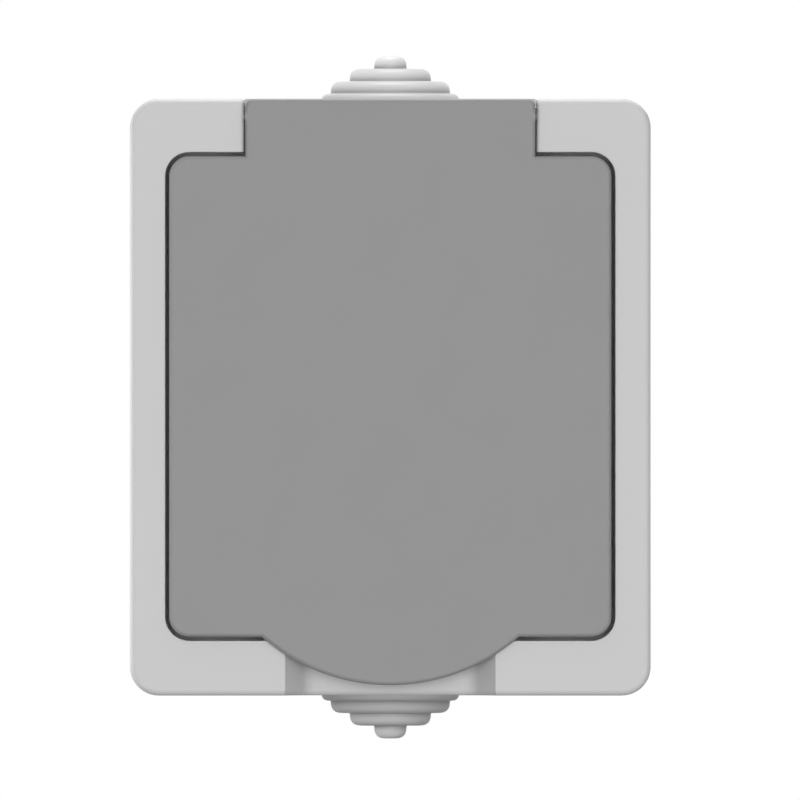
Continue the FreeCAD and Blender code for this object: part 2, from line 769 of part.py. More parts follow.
def make_lid():
    """Sprung lid: flat plate with a thumb tab, a skirt and the hinge neck."""
    body = new_body("lid")
    plate = rounded(-lid_x, lid_x, lid_low, lid_high, lid_corner)
    add(body, FRONT, lid_back, lid_face, plate)
    tab = circle(0, tab_centre, v.tab_radius)
    add(body, FRONT, face_depth + v.tab_gap, lid_face, tab)

    # neck with a square nose, and the round barrel under it
    nose = rectangle(-lid_face, -hinge_depth, lid_high - v.lid_skirt_wall, cover_z)
    add(body, SIDE, -neck_x, neck_x, nose)
    round_edges(body, v.neck_corner, is_neck_corner)
    round_edges(body, v.lid_round, is_lid_front)
    add(body, SIDE, -neck_x, neck_x, circle(-hinge_depth, hinge_z, barrel_radius))

    # skirt round the plate, inside the window
    inner_x = lid_x - v.lid_skirt_wall
    inner_low = lid_low + v.lid_skirt_wall
    inner_high = lid_high - v.lid_skirt_wall
    inner_corner = lid_corner - v.lid_skirt_wall
    inner = rounded(-inner_x, inner_x, inner_low, inner_high, inner_corner)
    outer = rounded(-lid_x, lid_x, lid_low, lid_high, lid_corner)
    add(body, FRONT, skirt_back, lid_back, outer, inner)

    # ring that holds the seal, and ribs from it to the skirt
    ring_in = lid_seal_outer + v.seal_ring_gap
    ring_out = ring_in + v.seal_ring_wall
    ring_low = lid_back - v.seal_ring_height
    add(body, FRONT, ring_low, lid_back, circle(0, 0, ring_out), circle(0, 0, ring_in))
    half = v.lid_rib_wall / 2
    start = ring_in + v.seal_ring_wall / 2
    ribs = [
        rectangle(start, inner_x + half, -half, half),
        rectangle(-inner_x - half, -start, -half, half),
        rectangle(-half, half, start, inner_high + half),
        rectangle(-half, half, inner_low - half, -start),
    ]
    add(body, FRONT, lid_back - v.lid_rib_height, lid_back, *ribs)

    # pin bore, pocket for the coil at the right end and the hole for its tang
    cut(body, SIDE, -neck_x - BEYOND, neck_x + BEYOND, circle(-hinge_depth, hinge_z, pin_bore))
    cut(body, SIDE, coil_pocket_low, neck_x, circle(-hinge_depth, hinge_z, coil_pocket_radius))
    tang = circle(-hinge_depth, hinge_z + coil_radius, tang_hole)
    cut(body, SIDE, coil_pocket_low - v.tang_length, coil_pocket_low, tang)
    return body


def is_neck_corner(edge):
    """The neck's two top corners seen from the front."""
    box = edge.BoundBox
    return near(abs(box.XMin), neck_x) and near(box.XLength, 0) and at_height(edge, cover_z)


def is_lid_front(edge):
    """Every outer edge of the lid's front face."""
    return at_depth(edge, lid_face)


def make_lid_seal():
    """Flat rubber ring under the lid that closes on the well's rim."""
    body = new_body("lid_seal")
    low = well_rim + v.lid_seal_gap
    ring = [circle(0, 0, lid_seal_outer), circle(0, 0, lid_seal_inner)]
    add(body, FRONT, low, lid_back, *ring)
    return body


def make_hinge_pin():
    """Steel pin through the neck, seated in both ears."""
    body = new_body("hinge_pin")
    add(body, SIDE, -pin_end, pin_end, circle(-hinge_depth, hinge_z, v.pin_radius))
    return body


def make_housing_seal():
    """Rubber cord between the box's rim and the cover's shoulder."""
    body = new_body("housing_seal")
    out_x = box_x - v.seal_inset
    out_z = box_z - v.seal_inset
    in_x = out_x - v.seal_width
    in_z = out_z - v.seal_width
    outer = rounded(-out_x, out_x, -out_z, out_z, box_corner)
    inner = rounded(-in_x, in_x, -in_z, in_z, box_corner - v.seal_width)
    add(body, FRONT, box_depth, box_depth + v.seal_height, outer, inner)
    return body


def make_cover_screws():
    """Four pan-head screws with cross recesses, in the window's corners."""
    body = new_body("cover_screws")
    head_low = screw_seat + v.screw_seal_height
    head_high = head_low + v.screw_head_height
    add(body, FRONT, head_low, head_high, *[circle(x, z, v.screw_head_radius) for x, z in screw_places])
    bevel_edges(body, v.screw_head_edge, lambda edge: at_depth(edge, head_high))
    shanks = [circle(x, z, v.screw_radius) for x, z in screw_places]
    add(body, FRONT, screw_tip, head_low, *shanks)
    cross_recess(body, screw_places, head_high)
    return body


def cross_recess(body, places, top):
    """Cuts a cross slot into each screw head."""
    across = v.drive_length / 2
    half = v.drive_width / 2
    crosses = []
    for x, z in places:
        crosses.append(polygon([
            (x - across, z - half), (x - half, z - half), (x - half, z - across),
            (x + half, z - across), (x + half, z - half), (x + across, z - half),
            (x + across, z + half), (x + half, z + half), (x + half, z + across),
            (x - half, z + across), (x - half, z + half), (x - across, z + half),
        ]))
    cut(body, FRONT, top - v.drive_depth, top, *crosses)


def make_cover_screw_seals():
    """Rubber washers under the cover screws' heads."""
    body = new_body("cover_screw_seals")
    rings = []
    for x, z in screw_places:
        rings.append(circle(x, z, v.screw_seal_radius))
        rings.append(circle(x, z, v.screw_radius + v.screw_core_gap))
    add(body, FRONT, screw_seat, screw_seat + v.screw_seal_height, *rings)
    return body


def make_socket_dish():
    """Wall of the plug well: flange, guide ribs and a ledge that holds the face."""
    body = new_body("socket_dish")
    rim_out = v.well_rim_radius + v.well_wall
    floor_out = well_floor_radius + v.well_wall
    flange_high = window_floor + v.flange_height
    profile = polygon([
        (-well_back, ledge_inner), (-ledge_high, ledge_inner), (-ledge_high, well_floor_radius),
        (-well_floor, well_floor_radius), (-well_rim, v.well_rim_radius), (-well_rim, rim_out),
        (-flange_high, rim_out), (-flange_high, flange_radius), (-window_floor, flange_radius),
        (-window_floor, rim_out), (-well_back, floor_out),
    ])
    turn(body, "Revolution", SIDE, "H_Axis", profile)
    bevel_edges(body, v.well_rim_edge, lambda edge: at_depth(edge, well_rim))

    # seal groove under the flange
    groove_in = flange_seal_inner - v.flange_seal_gap
    groove_out = flange_seal_outer + v.flange_seal_gap
    groove_high = window_floor + v.flange_seal_height
    cut(body, FRONT, window_floor, groove_high, circle(0, 0, groove_out), circle(0, 0, groove_in))

    # guide ribs at both sides of the well, over the face
    rib_tip = well_floor_radius - v.guide_rib_proud
    half = v.guide_rib_width / 2
    buried = well_floor_radius + v.well_wall / 2
    ribs = [rectangle(rib_tip, buried, -half, half), rectangle(-buried, -rib_tip, -half, half)]
    add(body, FRONT, well_floor + v.face_gap, guide_rib_top, *ribs)
    cut(body, FRONT, well_back - BEYOND, ledge_high, *clip_slots(BEYOND))
    return body


def clip_slots(further):
    """Drawing steps of the two slots that the earth clips come up through."""
    half = v.clip_slot_width / 2
    low = clip_slot_inner - further
    return [rectangle(-half, half, low, well_floor_radius),
            rectangle(-half, half, -well_floor_radius, -low)]


def make_socket_face():
    """Face at the bottom of the plug well, stepped to sit on the well's ledge."""
    body = new_body("socket_face")
    hub = ledge_inner - v.face_gap
    add(body, FRONT, well_back, well_floor, circle(0, 0, hub))
    rim = circle(0, 0, well_floor_radius - v.face_gap)
    add(body, FRONT, ledge_high, well_floor, rim)

    # holes for the plug's pins, the earth clips and the centre screw
    pins = [circle(side * plug_pin_x, 0, v.plug_pin_hole_radius) for side in (-1, 1)]
    cut(body, FRONT, well_back, well_floor, *pins)
    cut(body, FRONT, well_back, well_floor, *clip_slots(0))
    screw_hole = circle(0, 0, v.centre_screw_radius + v.centre_hole_gap)
    cut(body, FRONT, well_back, well_floor, screw_hole)
    head_room = circle(0, 0, v.centre_head_radius + v.centre_head_gap)
    cut(body, FRONT, well_floor - v.centre_head_height, well_floor, head_room)
    return body


def make_dish_seal():
    """Rubber ring in the flange's groove."""
    body = new_body("dish_seal")
    ring = [circle(0, 0, flange_seal_outer), circle(0, 0, flange_seal_inner)]
    add(body, FRONT, window_floor, window_floor + v.flange_seal_height, *ring)
    return body


def make_centre_screw():
    """Screw that draws the face and the well onto the contact carrier."""
    body = new_body("centre_screw")
    head_low = well_floor - v.centre_head_height
    add(body, FRONT, head_low, well_floor, circle(0, 0, v.centre_head_radius))
    add(body, FRONT, centre_screw_tip, head_low, circle(0, 0, v.centre_screw_radius))
    cross_recess(body, [(size(0), size(0))], well_floor)
    return body


def make_contact_carrier():
    """Insulating insert: block on two ears, with pockets for contacts and terminals."""
    body = new_body("contact_carrier")
    block = rounded(-carrier_x, carrier_x, -carrier_z, carrier_z, v.carrier_corner)
    add(body, FRONT, carrier_back, carrier_front, block)
    half = v.ear_width / 2
    ears = rectangle(-ear_reach, ear_reach, -half, half)
    add(body, FRONT, ear_low, ear_high, ears)
    round_edges(body, v.carrier_corner, is_carrier_ear_corner)

    # post round the centre screw, rails and spring stop for the shutter
    add(body, FRONT, carrier_front, post_top, circle(0, 0, v.centre_post_radius))
    rail_in = shutter_x + v.rail_gap
    rail_out = rail_in + v.rail_wall
    rail_low = -shutter_bottom
    rails = [rectangle(rail_in, rail_out, rail_low, rail_top),
             rectangle(-rail_out, -rail_in, rail_low, rail_top)]
    add(body, FRONT, carrier_front, shutter_high, *rails)
    stop = rectangle(-v.stop_width / 2, v.stop_width / 2,
                     return_coil_stop, return_coil_stop + v.stop_wall)
    add(body, FRONT, carrier_front, shutter_high, stop)
    cut(body, FRONT, centre_screw_tip - BEYOND, post_top,
        circle(0, 0, v.centre_screw_radius + v.centre_screw_gap))

    # pockets for the sleeve contacts, with a round mouth towards the plug
    reach_x = v.contact_gap / 2 + v.contact_wall + v.contact_mouth + v.pocket_gap
    reach_z = v.contact_width / 2 + v.pocket_gap
    tail = terminal_drop + terminal_half + v.pocket_gap
    for side in (-1, 1):
        centre = side * plug_pin_x
        pocket = rectangle(centre - reach_x, centre + reach_x, -reach_z, reach_z)
        cut(body, FRONT, carrier_back, contact_top + v.pocket_gap, pocket)
        cut(body, FRONT, contact_top, carrier_front, circle(centre, 0, v.plug_pin_hole_radius))
        channel_half = v.contact_width / 2 + v.pocket_gap
        channel = rectangle(centre - channel_half, centre + channel_half, -tail, -reach_z / 2)
        cut(body, FRONT, carrier_back, terminal_base, channel)

    # pockets for the three terminals, their screws and their wires
    room = terminal_half + v.pocket_gap
    for x, z, low in terminal_places.values():
        high = low + v.terminal_height
        cut(body, FRONT, carrier_back, high, rectangle(x - room, x + room, z - room, z + room))
        cut(body, FRONT, high - BEYOND, carrier_front,
            circle(x, z, v.terminal_head_radius + v.terminal_head_gap))
        wire_depth = low + v.terminal_wire_height
        wire = circle(x, -wire_depth, v.terminal_wire_radius + v.pocket_gap)
        ends = (z, carrier_z + BEYOND) if z.number > 0 else (-carrier_z - BEYOND, z)
        cut(body, PLAN, *ends, wire)

    # rivet holes with sunk heads, notches for the earth arms, ear holes
    for z in rivet_rows:
        cut(body, FRONT, carrier_back, carrier_front, circle(0, z, v.rivet_radius + v.rivet_gap))
        sunk = circle(0, z, v.rivet_head_radius + v.rivet_head_gap)
        cut(body, FRONT, carrier_front - v.rivet_head_height, carrier_front, sunk)
    notch_x = v.strip_width / 2 + v.strip_notch_gap
    notch_z = strip_arm - v.strip_wall / 2 - v.strip_notch_gap
    notches = [rectangle(-notch_x, notch_x, notch_z, carrier_z + BEYOND),
               rectangle(-notch_x, notch_x, -carrier_z - BEYOND, -notch_z)]
    cut(body, FRONT, carrier_back, carrier_front, *notches)
    holes = [circle(side * post_x, 0, v.post_screw_radius + v.post_hole_gap) for side in (-1, 1)]
    cut(body, FRONT, ear_low - BEYOND, ear_high + BEYOND, *holes)
    return body


def is_carrier_ear_corner(edge):
    """Outer corners of the carrier's two ears."""
    box = edge.BoundBox
    side = near(abs(box.XMin), ear_reach) and near(box.XLength, 0)
    return side and near(box.ZLength, 0)


def make_carrier_rear_plate():
    """Insulating plate that closes the carrier from behind."""
    body = new_body("carrier_rear_plate")
    block = rounded(-carrier_x, carrier_x, -carrier_z, carrier_z, v.carrier_corner)
    add(body, FRONT, plate_back, carrier_back, block)

    # channel for the earth strip, its arms and its side tab
    half = v.strip_width / 2 + v.pocket_gap
    reach = strip_arm + v.strip_wall / 2 + v.pocket_gap
    cut(body, FRONT, strip_back, carrier_back, rectangle(-half, half, -reach, reach))
    tab_half = terminal_half + v.pocket_gap
    tab = rectangle(size(0), v.earth_terminal_x + tab_half,
                    earth_terminal_z - tab_half, earth_terminal_z + tab_half)
    cut(body, FRONT, strip_back, carrier_back, tab)
    rivets = [circle(0, z, v.rivet_radius + v.rivet_gap) for z in rivet_rows]
    cut(body, FRONT, plate_back, strip_back, *rivets)
    return body


def make_sleeve_contact(label, side):
    """Folded brass contact: two leaves that grip one plug pin, on a tail strip."""
    body = new_body(label)
    centre = side * plug_pin_x
    inner = v.contact_gap / 2
    outer = inner + v.contact_wall
    mouth = outer + v.contact_mouth
    flare = contact_top - v.contact_mouth
    base_high = contact_base + v.contact_wall
    section = polygon([
        (centre - outer, -contact_base), (centre + outer, -contact_base),
        (centre + outer, -flare), (centre + mouth, -contact_top),
        (centre + mouth - v.contact_wall, -contact_top), (centre + inner, -flare),
        (centre + inner, -base_high), (centre - inner, -base_high),
        (centre - inner, -flare), (centre - mouth + v.contact_wall, -contact_top),
        (centre - mouth, -contact_top), (centre - outer, -flare),
    ])
    half = v.contact_width / 2
    add(body, PLAN, -half, half, section)
    end = terminal_drop + terminal_half
    tail = rectangle(centre - half, centre + half, -end, half)
    add(body, FRONT, contact_base, base_high, tail)
    return body


def make_terminal(label):
    """Pillar terminal: a brass block with a cross hole for the wire and a screw hole."""
    body = new_body(label)
    x, z, low = terminal_places[label]
    half = terminal_half
    add(body, FRONT, low, low + v.terminal_height, rectangle(x - half, x + half, z - half, z + half))
    wire = circle(x, -(low + v.terminal_wire_height), v.terminal_wire_radius)
    cut(body, PLAN, z - half - BEYOND, z + half + BEYOND, wire)
    screw = circle(x, z, v.terminal_screw_radius + v.terminal_screw_gap)
    cut(body, FRONT, low + v.terminal_wire_height, low + v.terminal_height, screw)
    return body


def make_terminal_screws():
    """Three slotted clamping screws, one in each terminal."""
    body = new_body("terminal_screws")
    for x, z, low in terminal_places.values():
        top = low + v.terminal_height
        tip = low + v.terminal_wire_height
        add(body, FRONT, tip, top, circle(x, z, v.terminal_screw_radius))
        head = circle(x, z, v.terminal_head_radius)
        add(body, FRONT, top, top + v.terminal_head_height, head)
        half = v.drive_width / 2
        across = v.terminal_head_radius + v.drive_width
        slot = rectangle(x - across, x + across, z - half, z + half)
        depth = v.terminal_head_height / 2
        cut(body, FRONT, top + depth, top + v.terminal_head_height, slot)
    return body


def make_carrier_screws():
    """Two screws that hold the carrier's ears on the box's posts."""
    body = new_body("carrier_screws")
    places = [(side * post_x, size(0)) for side in (-1, 1)]
    top = ear_high + v.post_head_height
    add(body, FRONT, ear_high, top, *[circle(x, z, v.post_head_radius) for x, z in places])
    shanks = [circle(x, z, v.post_screw_radius) for x, z in places]
    add(body, FRONT, ear_high - v.post_screw_length, ear_high, *shanks)
    cross_recess(body, places, top)
    return body


def make_carrier_rivets():
    """Two rivets through the carrier, the earth strip and the rear plate."""
    body = new_body("carrier_rivets")
    places = [(0, z) for z in rivet_rows]
    front_low = carrier_front - v.rivet_head_height
    add(body, FRONT, plate_back, front_low, *[circle(x, z, v.rivet_radius) for x, z in places])
    heads = [circle(x, z, v.rivet_head_radius) for x, z in places]
    add(body, FRONT, front_low, carrier_front, *heads)
    add(body, FRONT, plate_back - v.rivet_head_height, plate_back, *heads)
    return body


def make_earth_bracket():
    """Sprung steel strip bent up at both ends into the well's earth clips."""
    body = new_body("earth_bracket")
    middle = carrier_back - v.strip_wall / 2
    section = new_sketch(body, PLAN, 0)
    rectangle(-v.strip_width / 2, v.strip_width / 2, -carrier_back, -strip_back)(section)
    path = new_sketch(body, SIDE, 0)
    points = [
        (-middle, size(0)), (-middle, strip_arm), (-well_floor - v.strip_bend_rise, strip_arm),
        (-well_floor - v.strip_nip_rise, strip_nip), (-well_floor - v.strip_end_rise, strip_end),
    ]
    ends = [vector(*point) for point in points]
    lines = [Part.LineSegment(a, b) for a, b in zip(ends, ends[1:])]
    first = path.addGeometry(lines, False)[0]
    for i in range(len(lines)):
        fix_point(path, first + i, 1, *points[i])
        if i:
            path.addConstraint(Sketcher.Constraint("Coincident", first + i - 1, 2, first + i, 1))
    fix_point(path, first + len(lines) - 1, 2, *points[-1])
    pipe = body.newObject("PartDesign::AdditivePipe", "earth_bracket_strip")
    pipe.Profile = section
    pipe.Spine = (path, ["Edge%d" % (i + 1) for i in range(len(lines))])
    pipe.Transition = "Right corner"
    settle(body, pipe, 0.0)

    # the same clip at the bottom of the well
    before = volume_now(body)
    plan = [item for item in body.Origin.OriginFeatures if item.Role == PLAN][0]
    mirror = body.newObject("PartDesign::Mirrored", "earth_bracket_mirror")
    mirror.Originals = [pipe]
    mirror.MirrorPlane = (plan, [""])
    body.Tip = mirror
    settle(body, mirror, before)

    # side tab under the earth terminal, and the rivets' holes
    half = terminal_half
    tab = rectangle(size(0), v.earth_terminal_x + half,
                    earth_terminal_z - half, earth_terminal_z + half)
    add(body, FRONT, strip_back, carrier_back, tab)
    holes = [circle(0, z, v.rivet_radius + v.rivet_gap) for z in rivet_rows]
    cut(body, FRONT, strip_back, carrier_back, *holes)
    return body


def make_shutter():
    """Child-safety slide: two ramps behind the pin holes push it up as a plug goes in."""
    body = new_body("shutter")
    outline = rectangle(-shutter_x, shutter_x, -shutter_bottom, shutter_top)
    add(body, FRONT, shutter_low, shutter_high, outline)

    # slot round the centre post, long enough for the travel
    post = v.centre_post_radius + v.shutter_slot_gap
    slot = rectangle(-post, post, -shutter_travel - post, post)
    cut(body, FRONT, shutter_low, shutter_high, slot)

    # windows that come in line with the pin holes, and the ramps above them
    half = shutter_window
    for side in (-1, 1):
        centre = side * plug_pin_x
        window = rectangle(centre - half, centre + half, -shutter_travel - half, half - shutter_travel)
        cut(body, FRONT, shutter_low, shutter_high, window)
        ramp = polygon([
            (-shutter_low - v.shutter_lip, half - shutter_travel), (-shutter_high, half),
            (-shutter_high, half - shutter_travel),
        ])
        cut(body, SIDE, centre - half, centre + half, ramp)

    # spigot inside the return spring
    spigot = circle(0, -return_coil_depth, v.spigot_radius)
    add(body, PLAN, shutter_top, shutter_top + v.spigot_length, spigot)
    return body


def coil(label, axis_role, radius, wire, pitch, turns):
    """Wire wound about one axis of its own body; the wire is drawn as a hexagon."""
    body = new_body(label)
    plane = PLAN if axis_role == "X_Axis" else FRONT
    section = new_sketch(body, plane, 0)
    along = wire * HEXAGON_SIDE
    ring = [(0, wire), (along, wire / 2), (along, -wire / 2),
            (0, -wire), (-along, -wire / 2), (-along, wire / 2)]
    if axis_role == "X_Axis":
        polygon([(a, radius + b) for a, b in ring])(section)
    else:
        polygon([(radius + b, a) for a, b in ring])(section)
    helix = body.newObject("PartDesign::AdditiveHelix", label + "_helix")
    helix.Profile = section
    axis = [item for item in body.Origin.OriginFeatures if item.Role == axis_role][0]
    helix.ReferenceAxis = (axis, [""])
    helix.Mode = "pitch-turns-angle"
    helix.setExpression("Pitch", size(pitch).formula)
    helix.setExpression("Turns", size(turns).formula)
    settle(body, helix, 0.0)
    return body


def move(body, x, y, z, rotation=None):
    """Places a piece that was drawn about its own axis."""
    if rotation:
        body.Placement = FreeCAD.Placement(FreeCAD.Vector(0, 0, 0), rotation)
    for name, value in (("x", x), ("y", y), ("z", z)):
        body.setExpression("Placement.Base." + name, size(value).formula)
    doc.recompute()


def make_lid_spring():
    """Torsion spring round the pin, with one straight tang in the neck and one in the ear."""
    body = coil("lid_spring", "X_Axis", coil_radius, v.coil_wire, v.coil_pitch, v.coil_turns)
    inner_tang = v.coil_end_gap + v.coil_wire + v.tang_length - v.tang_gap
    outer_tang = v.coil_end_gap + v.coil_wire + v.neck_gap + v.tang_length - v.tang_gap
    add(body, SIDE, -inner_tang, 0, circle(coil_radius, 0, v.coil_wire))
    add(body, SIDE, coil_length, coil_length + outer_tang, circle(coil_radius, 0, v.coil_wire))
    quarter = FreeCAD.Rotation(FreeCAD.Vector(1, 0, 0), 90)
    move(body, coil_low, -hinge_depth, hinge_z, quarter)
    return body


def make_shutter_spring():
    """Compression spring between the shutter and the carrier's stop."""
    length = return_coil_stop - shutter_top - v.return_coil_wire * 2
    pitch = length / v.return_coil_turns
    body = coil("shutter_spring", "Z_Axis", v.return_coil_radius, v.return_coil_wire,
                pitch, v.return_coil_turns)
    move(body, 0, -return_coil_depth, shutter_top + v.return_coil_wire)
    return body


def make_grommet(label, upside_down):
    """Stepped rubber cable entry, closed until it is cut to the cable."""
    body = new_body(label)
    wall = v.grommet_wall
    skin = v.grommet_skin
    wall_in = box_inner_z
    neck = v.entry_radius - v.grommet_neck_gap
    lip_low = wall_in - v.grommet_lip_height
    profile = polygon([
        (size(0), grommet_tip_top), (grommet_tip_radius, grommet_tip_top),
        (grommet_tip_radius, grommet_ring_top), (grommet_ring_radius, grommet_ring_top),
        (grommet_ring_radius, grommet_step_top), (grommet_step_radius, grommet_step_top),
        (grommet_step_radius, grommet_flange_top), (grommet_flange_radius, grommet_flange_top),
        (grommet_flange_radius, box_z), (neck, box_z), (neck, wall_in),
        (v.entry_radius + v.grommet_lip_lap, wall_in), (neck, lip_low),
        (grommet_step_radius - wall, lip_low),
        (grommet_step_radius - wall, grommet_step_top - wall),
        (grommet_ring_radius - wall, grommet_step_top - wall),
        (grommet_ring_radius - wall, grommet_ring_top - wall),
        (grommet_tip_radius - skin, grommet_ring_top - wall),
        (grommet_tip_radius - skin, grommet_tip_top - skin),
        (size(0), grommet_tip_top - skin),
    ])
    turn(body, "Revolution", FRONT, "V_Axis", profile)
    shoulders = (grommet_flange_top, grommet_step_top, grommet_ring_top, grommet_tip_top)
    radii = (grommet_flange_radius, grommet_step_radius, grommet_ring_radius, grommet_tip_radius)

    def is_shoulder(edge):
        radius = edge.Curve.Radius if hasattr(edge.Curve, "Radius") else 0
        pairs = zip(shoulders, radii)
        return any(at_height(edge, top) and near(radius, reach) for top, reach in pairs)

    bevel_edges(body, v.grommet_edge, is_shoulder)
    half_turn = FreeCAD.Rotation(FreeCAD.Vector(0, 1, 0), 180)
    move(body, 0, -entry_depth, 0, half_turn if upside_down else None)
    return body


make_back_box()
make_front_cover()
make_housing_seal()
make_lid()
make_lid_seal()
make_hinge_pin()
make_lid_spring()
make_grommet("top_grommet", False)
make_grommet("bottom_grommet", True)
make_cover_screws()
make_cover_screw_seals()
make_socket_dish()
make_socket_face()
make_dish_seal()
make_centre_screw()
make_shutter()
make_shutter_spring()
make_contact_carrier()
make_carrier_rear_plate()
make_sleeve_contact("line_contact", -1)
make_sleeve_contact("neutral_contact", 1)
make_earth_bracket()
for terminal in terminal_places:
    make_terminal(terminal)
make_terminal_screws()
make_carrier_screws()
make_carrier_rivets()
doc.recompute()

# Every object must have settled, and every piece must be a valid solid
for item in doc.Objects:
    if "Invalid" in item.State or "Error" in item.State:
        raise RuntimeError("%s did not settle" % item.Label)
for label, body in bodies.items():
    if body.Shape.isNull() or not body.Shape.isValid() or not body.Shape.Solids:
        raise RuntimeError("%s is not a valid solid" % label)
for label, body in bodies.items():
    body.Shape.exportStep("parts/%s.step" % label)
    print("%-20s %2d solid(s) %10.2f mm3" % (label, len(body.Shape.Solids), body.Shape.Volume))
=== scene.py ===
import math

import bmesh
import bpy
import numpy as np
from bpy.props import FloatProperty, FloatVectorProperty, IntProperty, PointerProperty
from bpy.types import Operator, Panel, PropertyGroup
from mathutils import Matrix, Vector


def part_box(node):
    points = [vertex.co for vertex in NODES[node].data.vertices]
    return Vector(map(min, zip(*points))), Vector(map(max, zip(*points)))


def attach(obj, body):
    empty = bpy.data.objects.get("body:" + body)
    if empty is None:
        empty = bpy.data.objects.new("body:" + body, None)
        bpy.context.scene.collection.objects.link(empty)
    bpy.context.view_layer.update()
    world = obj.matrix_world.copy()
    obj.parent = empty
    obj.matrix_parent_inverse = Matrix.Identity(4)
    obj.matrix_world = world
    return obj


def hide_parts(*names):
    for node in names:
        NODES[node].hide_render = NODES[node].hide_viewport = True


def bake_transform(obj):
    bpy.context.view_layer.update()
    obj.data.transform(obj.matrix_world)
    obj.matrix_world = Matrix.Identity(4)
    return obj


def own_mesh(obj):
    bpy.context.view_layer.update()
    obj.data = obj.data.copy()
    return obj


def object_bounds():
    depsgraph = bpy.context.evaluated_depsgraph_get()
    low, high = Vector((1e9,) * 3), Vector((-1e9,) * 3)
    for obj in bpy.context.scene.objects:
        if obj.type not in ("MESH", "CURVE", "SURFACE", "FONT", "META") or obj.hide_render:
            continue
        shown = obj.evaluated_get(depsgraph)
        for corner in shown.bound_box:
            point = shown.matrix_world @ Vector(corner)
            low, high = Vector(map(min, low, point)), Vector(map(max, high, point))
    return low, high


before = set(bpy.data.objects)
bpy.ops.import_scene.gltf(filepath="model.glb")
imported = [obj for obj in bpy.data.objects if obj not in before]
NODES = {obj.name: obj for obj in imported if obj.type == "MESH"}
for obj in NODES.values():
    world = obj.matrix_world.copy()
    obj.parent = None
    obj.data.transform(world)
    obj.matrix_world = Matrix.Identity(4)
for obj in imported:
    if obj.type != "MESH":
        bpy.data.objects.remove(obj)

bl_info = {
    "name": "Outdoor Socket Finisher",
    "version": (1, 0, 0),
    "blender": (4, 5, 0),
    "location": "3D Viewport > Sidebar > Socket",
    "description": "Gives an outdoor wall socket its plastics, rubber, springs, screws and studio",
    "category": "Object",
}

# The frame's own places, in metres: +X right, +Y into the wall, +Z up
CAD_LOW, CAD_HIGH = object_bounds()
ALONG_X = np.array([1.0, 0.0, 0.0])
ALONG_Y = np.array([0.0, 1.0, 0.0])
ALONG_Z = np.array([0.0, 0.0, 1.0])
FULL_TURN = 2.0 * math.pi

# Building of meshes: points this near are merged, and edges sharper than this stay sharp
WELD = 2e-7
SHARP_ANGLE = math.radians(32.0)

# Forms as shares: a wire's rounded end of its thickness, the tip's skin of a cable entry's, and
# how dark the painted shade on the shelf beside a crease is
WIRE_END = 0.6
TIP_SKIN = 0.7
PAINTED_SHELF_SHADE = 0.55

# Screws as shares: a head's edge of its radius, its dome of its height, the rise of the cross's
# floor, a ridge's width of the pitch, and the carrier's and the centre screw's finer threads
HEAD_EDGE = 0.12
HEAD_DOME = 0.22
CROSS_RISE = 0.35
RIDGE_WIDTH = 0.55
CARRIER_THREAD = 0.8
MACHINE_THREAD = 0.6

# Rows and sides of turned and wound pieces
ROWS_PER_PITCH = 9
PIN_ROWS = 90
PIN_SIDES = 48
LID_SPRING_ROWS = 1500
SHUTTER_SPRING_ROWS = 900
SPRING_SIDES = 10

# Length over which the knurl's grooves deepen, in metres, and the share of a turn that lies closed
# at each end of the shutter's spring
KNURL_EASE = 0.0002
CLOSED_TURN = 0.6

# Usual range of a noise value, and the refraction of plastics and rubber
NOISE_LOW, NOISE_HIGH = 0.3, 0.7
POLYMER_IOR = 1.5

# Widths of the patterns in the surfaces, in metres
FLOW_WIDTH = 0.018
GLOSS_WIDTH = 0.007
BLOOM_WIDTH = 0.006
CLOUD_WIDTH = 0.004
PAPER_WIDTH = 0.35

# Depths of their relief, in metres
FLOW_DEPTH = 0.00002
SWELL_DEPTH = 0.00006
SKIN_DEPTH = 0.00002
CLOUD_DEPTH = 0.00002
STREAK_DEPTH = 0.00001

# Direction and edge of the light behind the object, and the strip lamps: their places, counted
# from the middle of the front, and their length and width
BACK_GLOW = (0.0, 0.95, 0.31)
BACK_EDGE = 4.0
STRIP_PLACES = {
    "top_strip": (0.0, 0.055, 0.25),
    "left_strip": (-0.25, 0.07, 0.0),
    "right_strip": (0.2, 0.2, 0.0),
}
STRIP_SIZE = (0.12, 0.05)


def span(node):
    """Lowest and highest corner of a CAD node as two arrays."""
    low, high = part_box(node)
    return np.array(low), np.array(high)


def length(name, text, default, smallest=0.0):
    """A length property in metres."""
    return FloatProperty(name=name, description=text, default=default, min=smallest,
                         unit="LENGTH", subtype="DISTANCE", precision=5)


def colour(name, text, default):
    """A colour property, in linear red, green and blue."""
    return FloatVectorProperty(name=name, description=text, default=default, min=0.0, max=1.0,
                               size=3, subtype="COLOR")


def amount(name, text, default, low=0.0, high=10.0):
    """A plain number property."""
    return FloatProperty(name=name, description=text, default=default, min=low, max=high)


# Surfaces as arrays


def full_circle(sides):
    """Angles of one turn in equal steps; the last step back to the first is left out."""
    return np.linspace(0.0, FULL_TURN, sides, endpoint=False)


def smooth(value):
    """3 t squared minus 2 t cubed, for t held between 0 and 1."""
    t = np.clip(value, 0.0, 1.0)
    return t * t * (3.0 - 2.0 * t)


def grid(points, wrap_rows=False, wrap_columns=True):
    """A grid of points and its quads: point (i, j) meets its neighbours i + 1 and j + 1."""
    rows, columns = points.shape[:2]
    i, j = np.meshgrid(np.arange(rows if wrap_rows else rows - 1),
                       np.arange(columns if wrap_columns else columns - 1), indexing="ij")
    down, along = (i + 1) % rows, (j + 1) % columns
    quads = np.stack([i * columns + j, i * columns + along,
                      down * columns + along, down * columns + j], axis=-1)
    return points.reshape(-1, 3), quads.reshape(-1, 4)


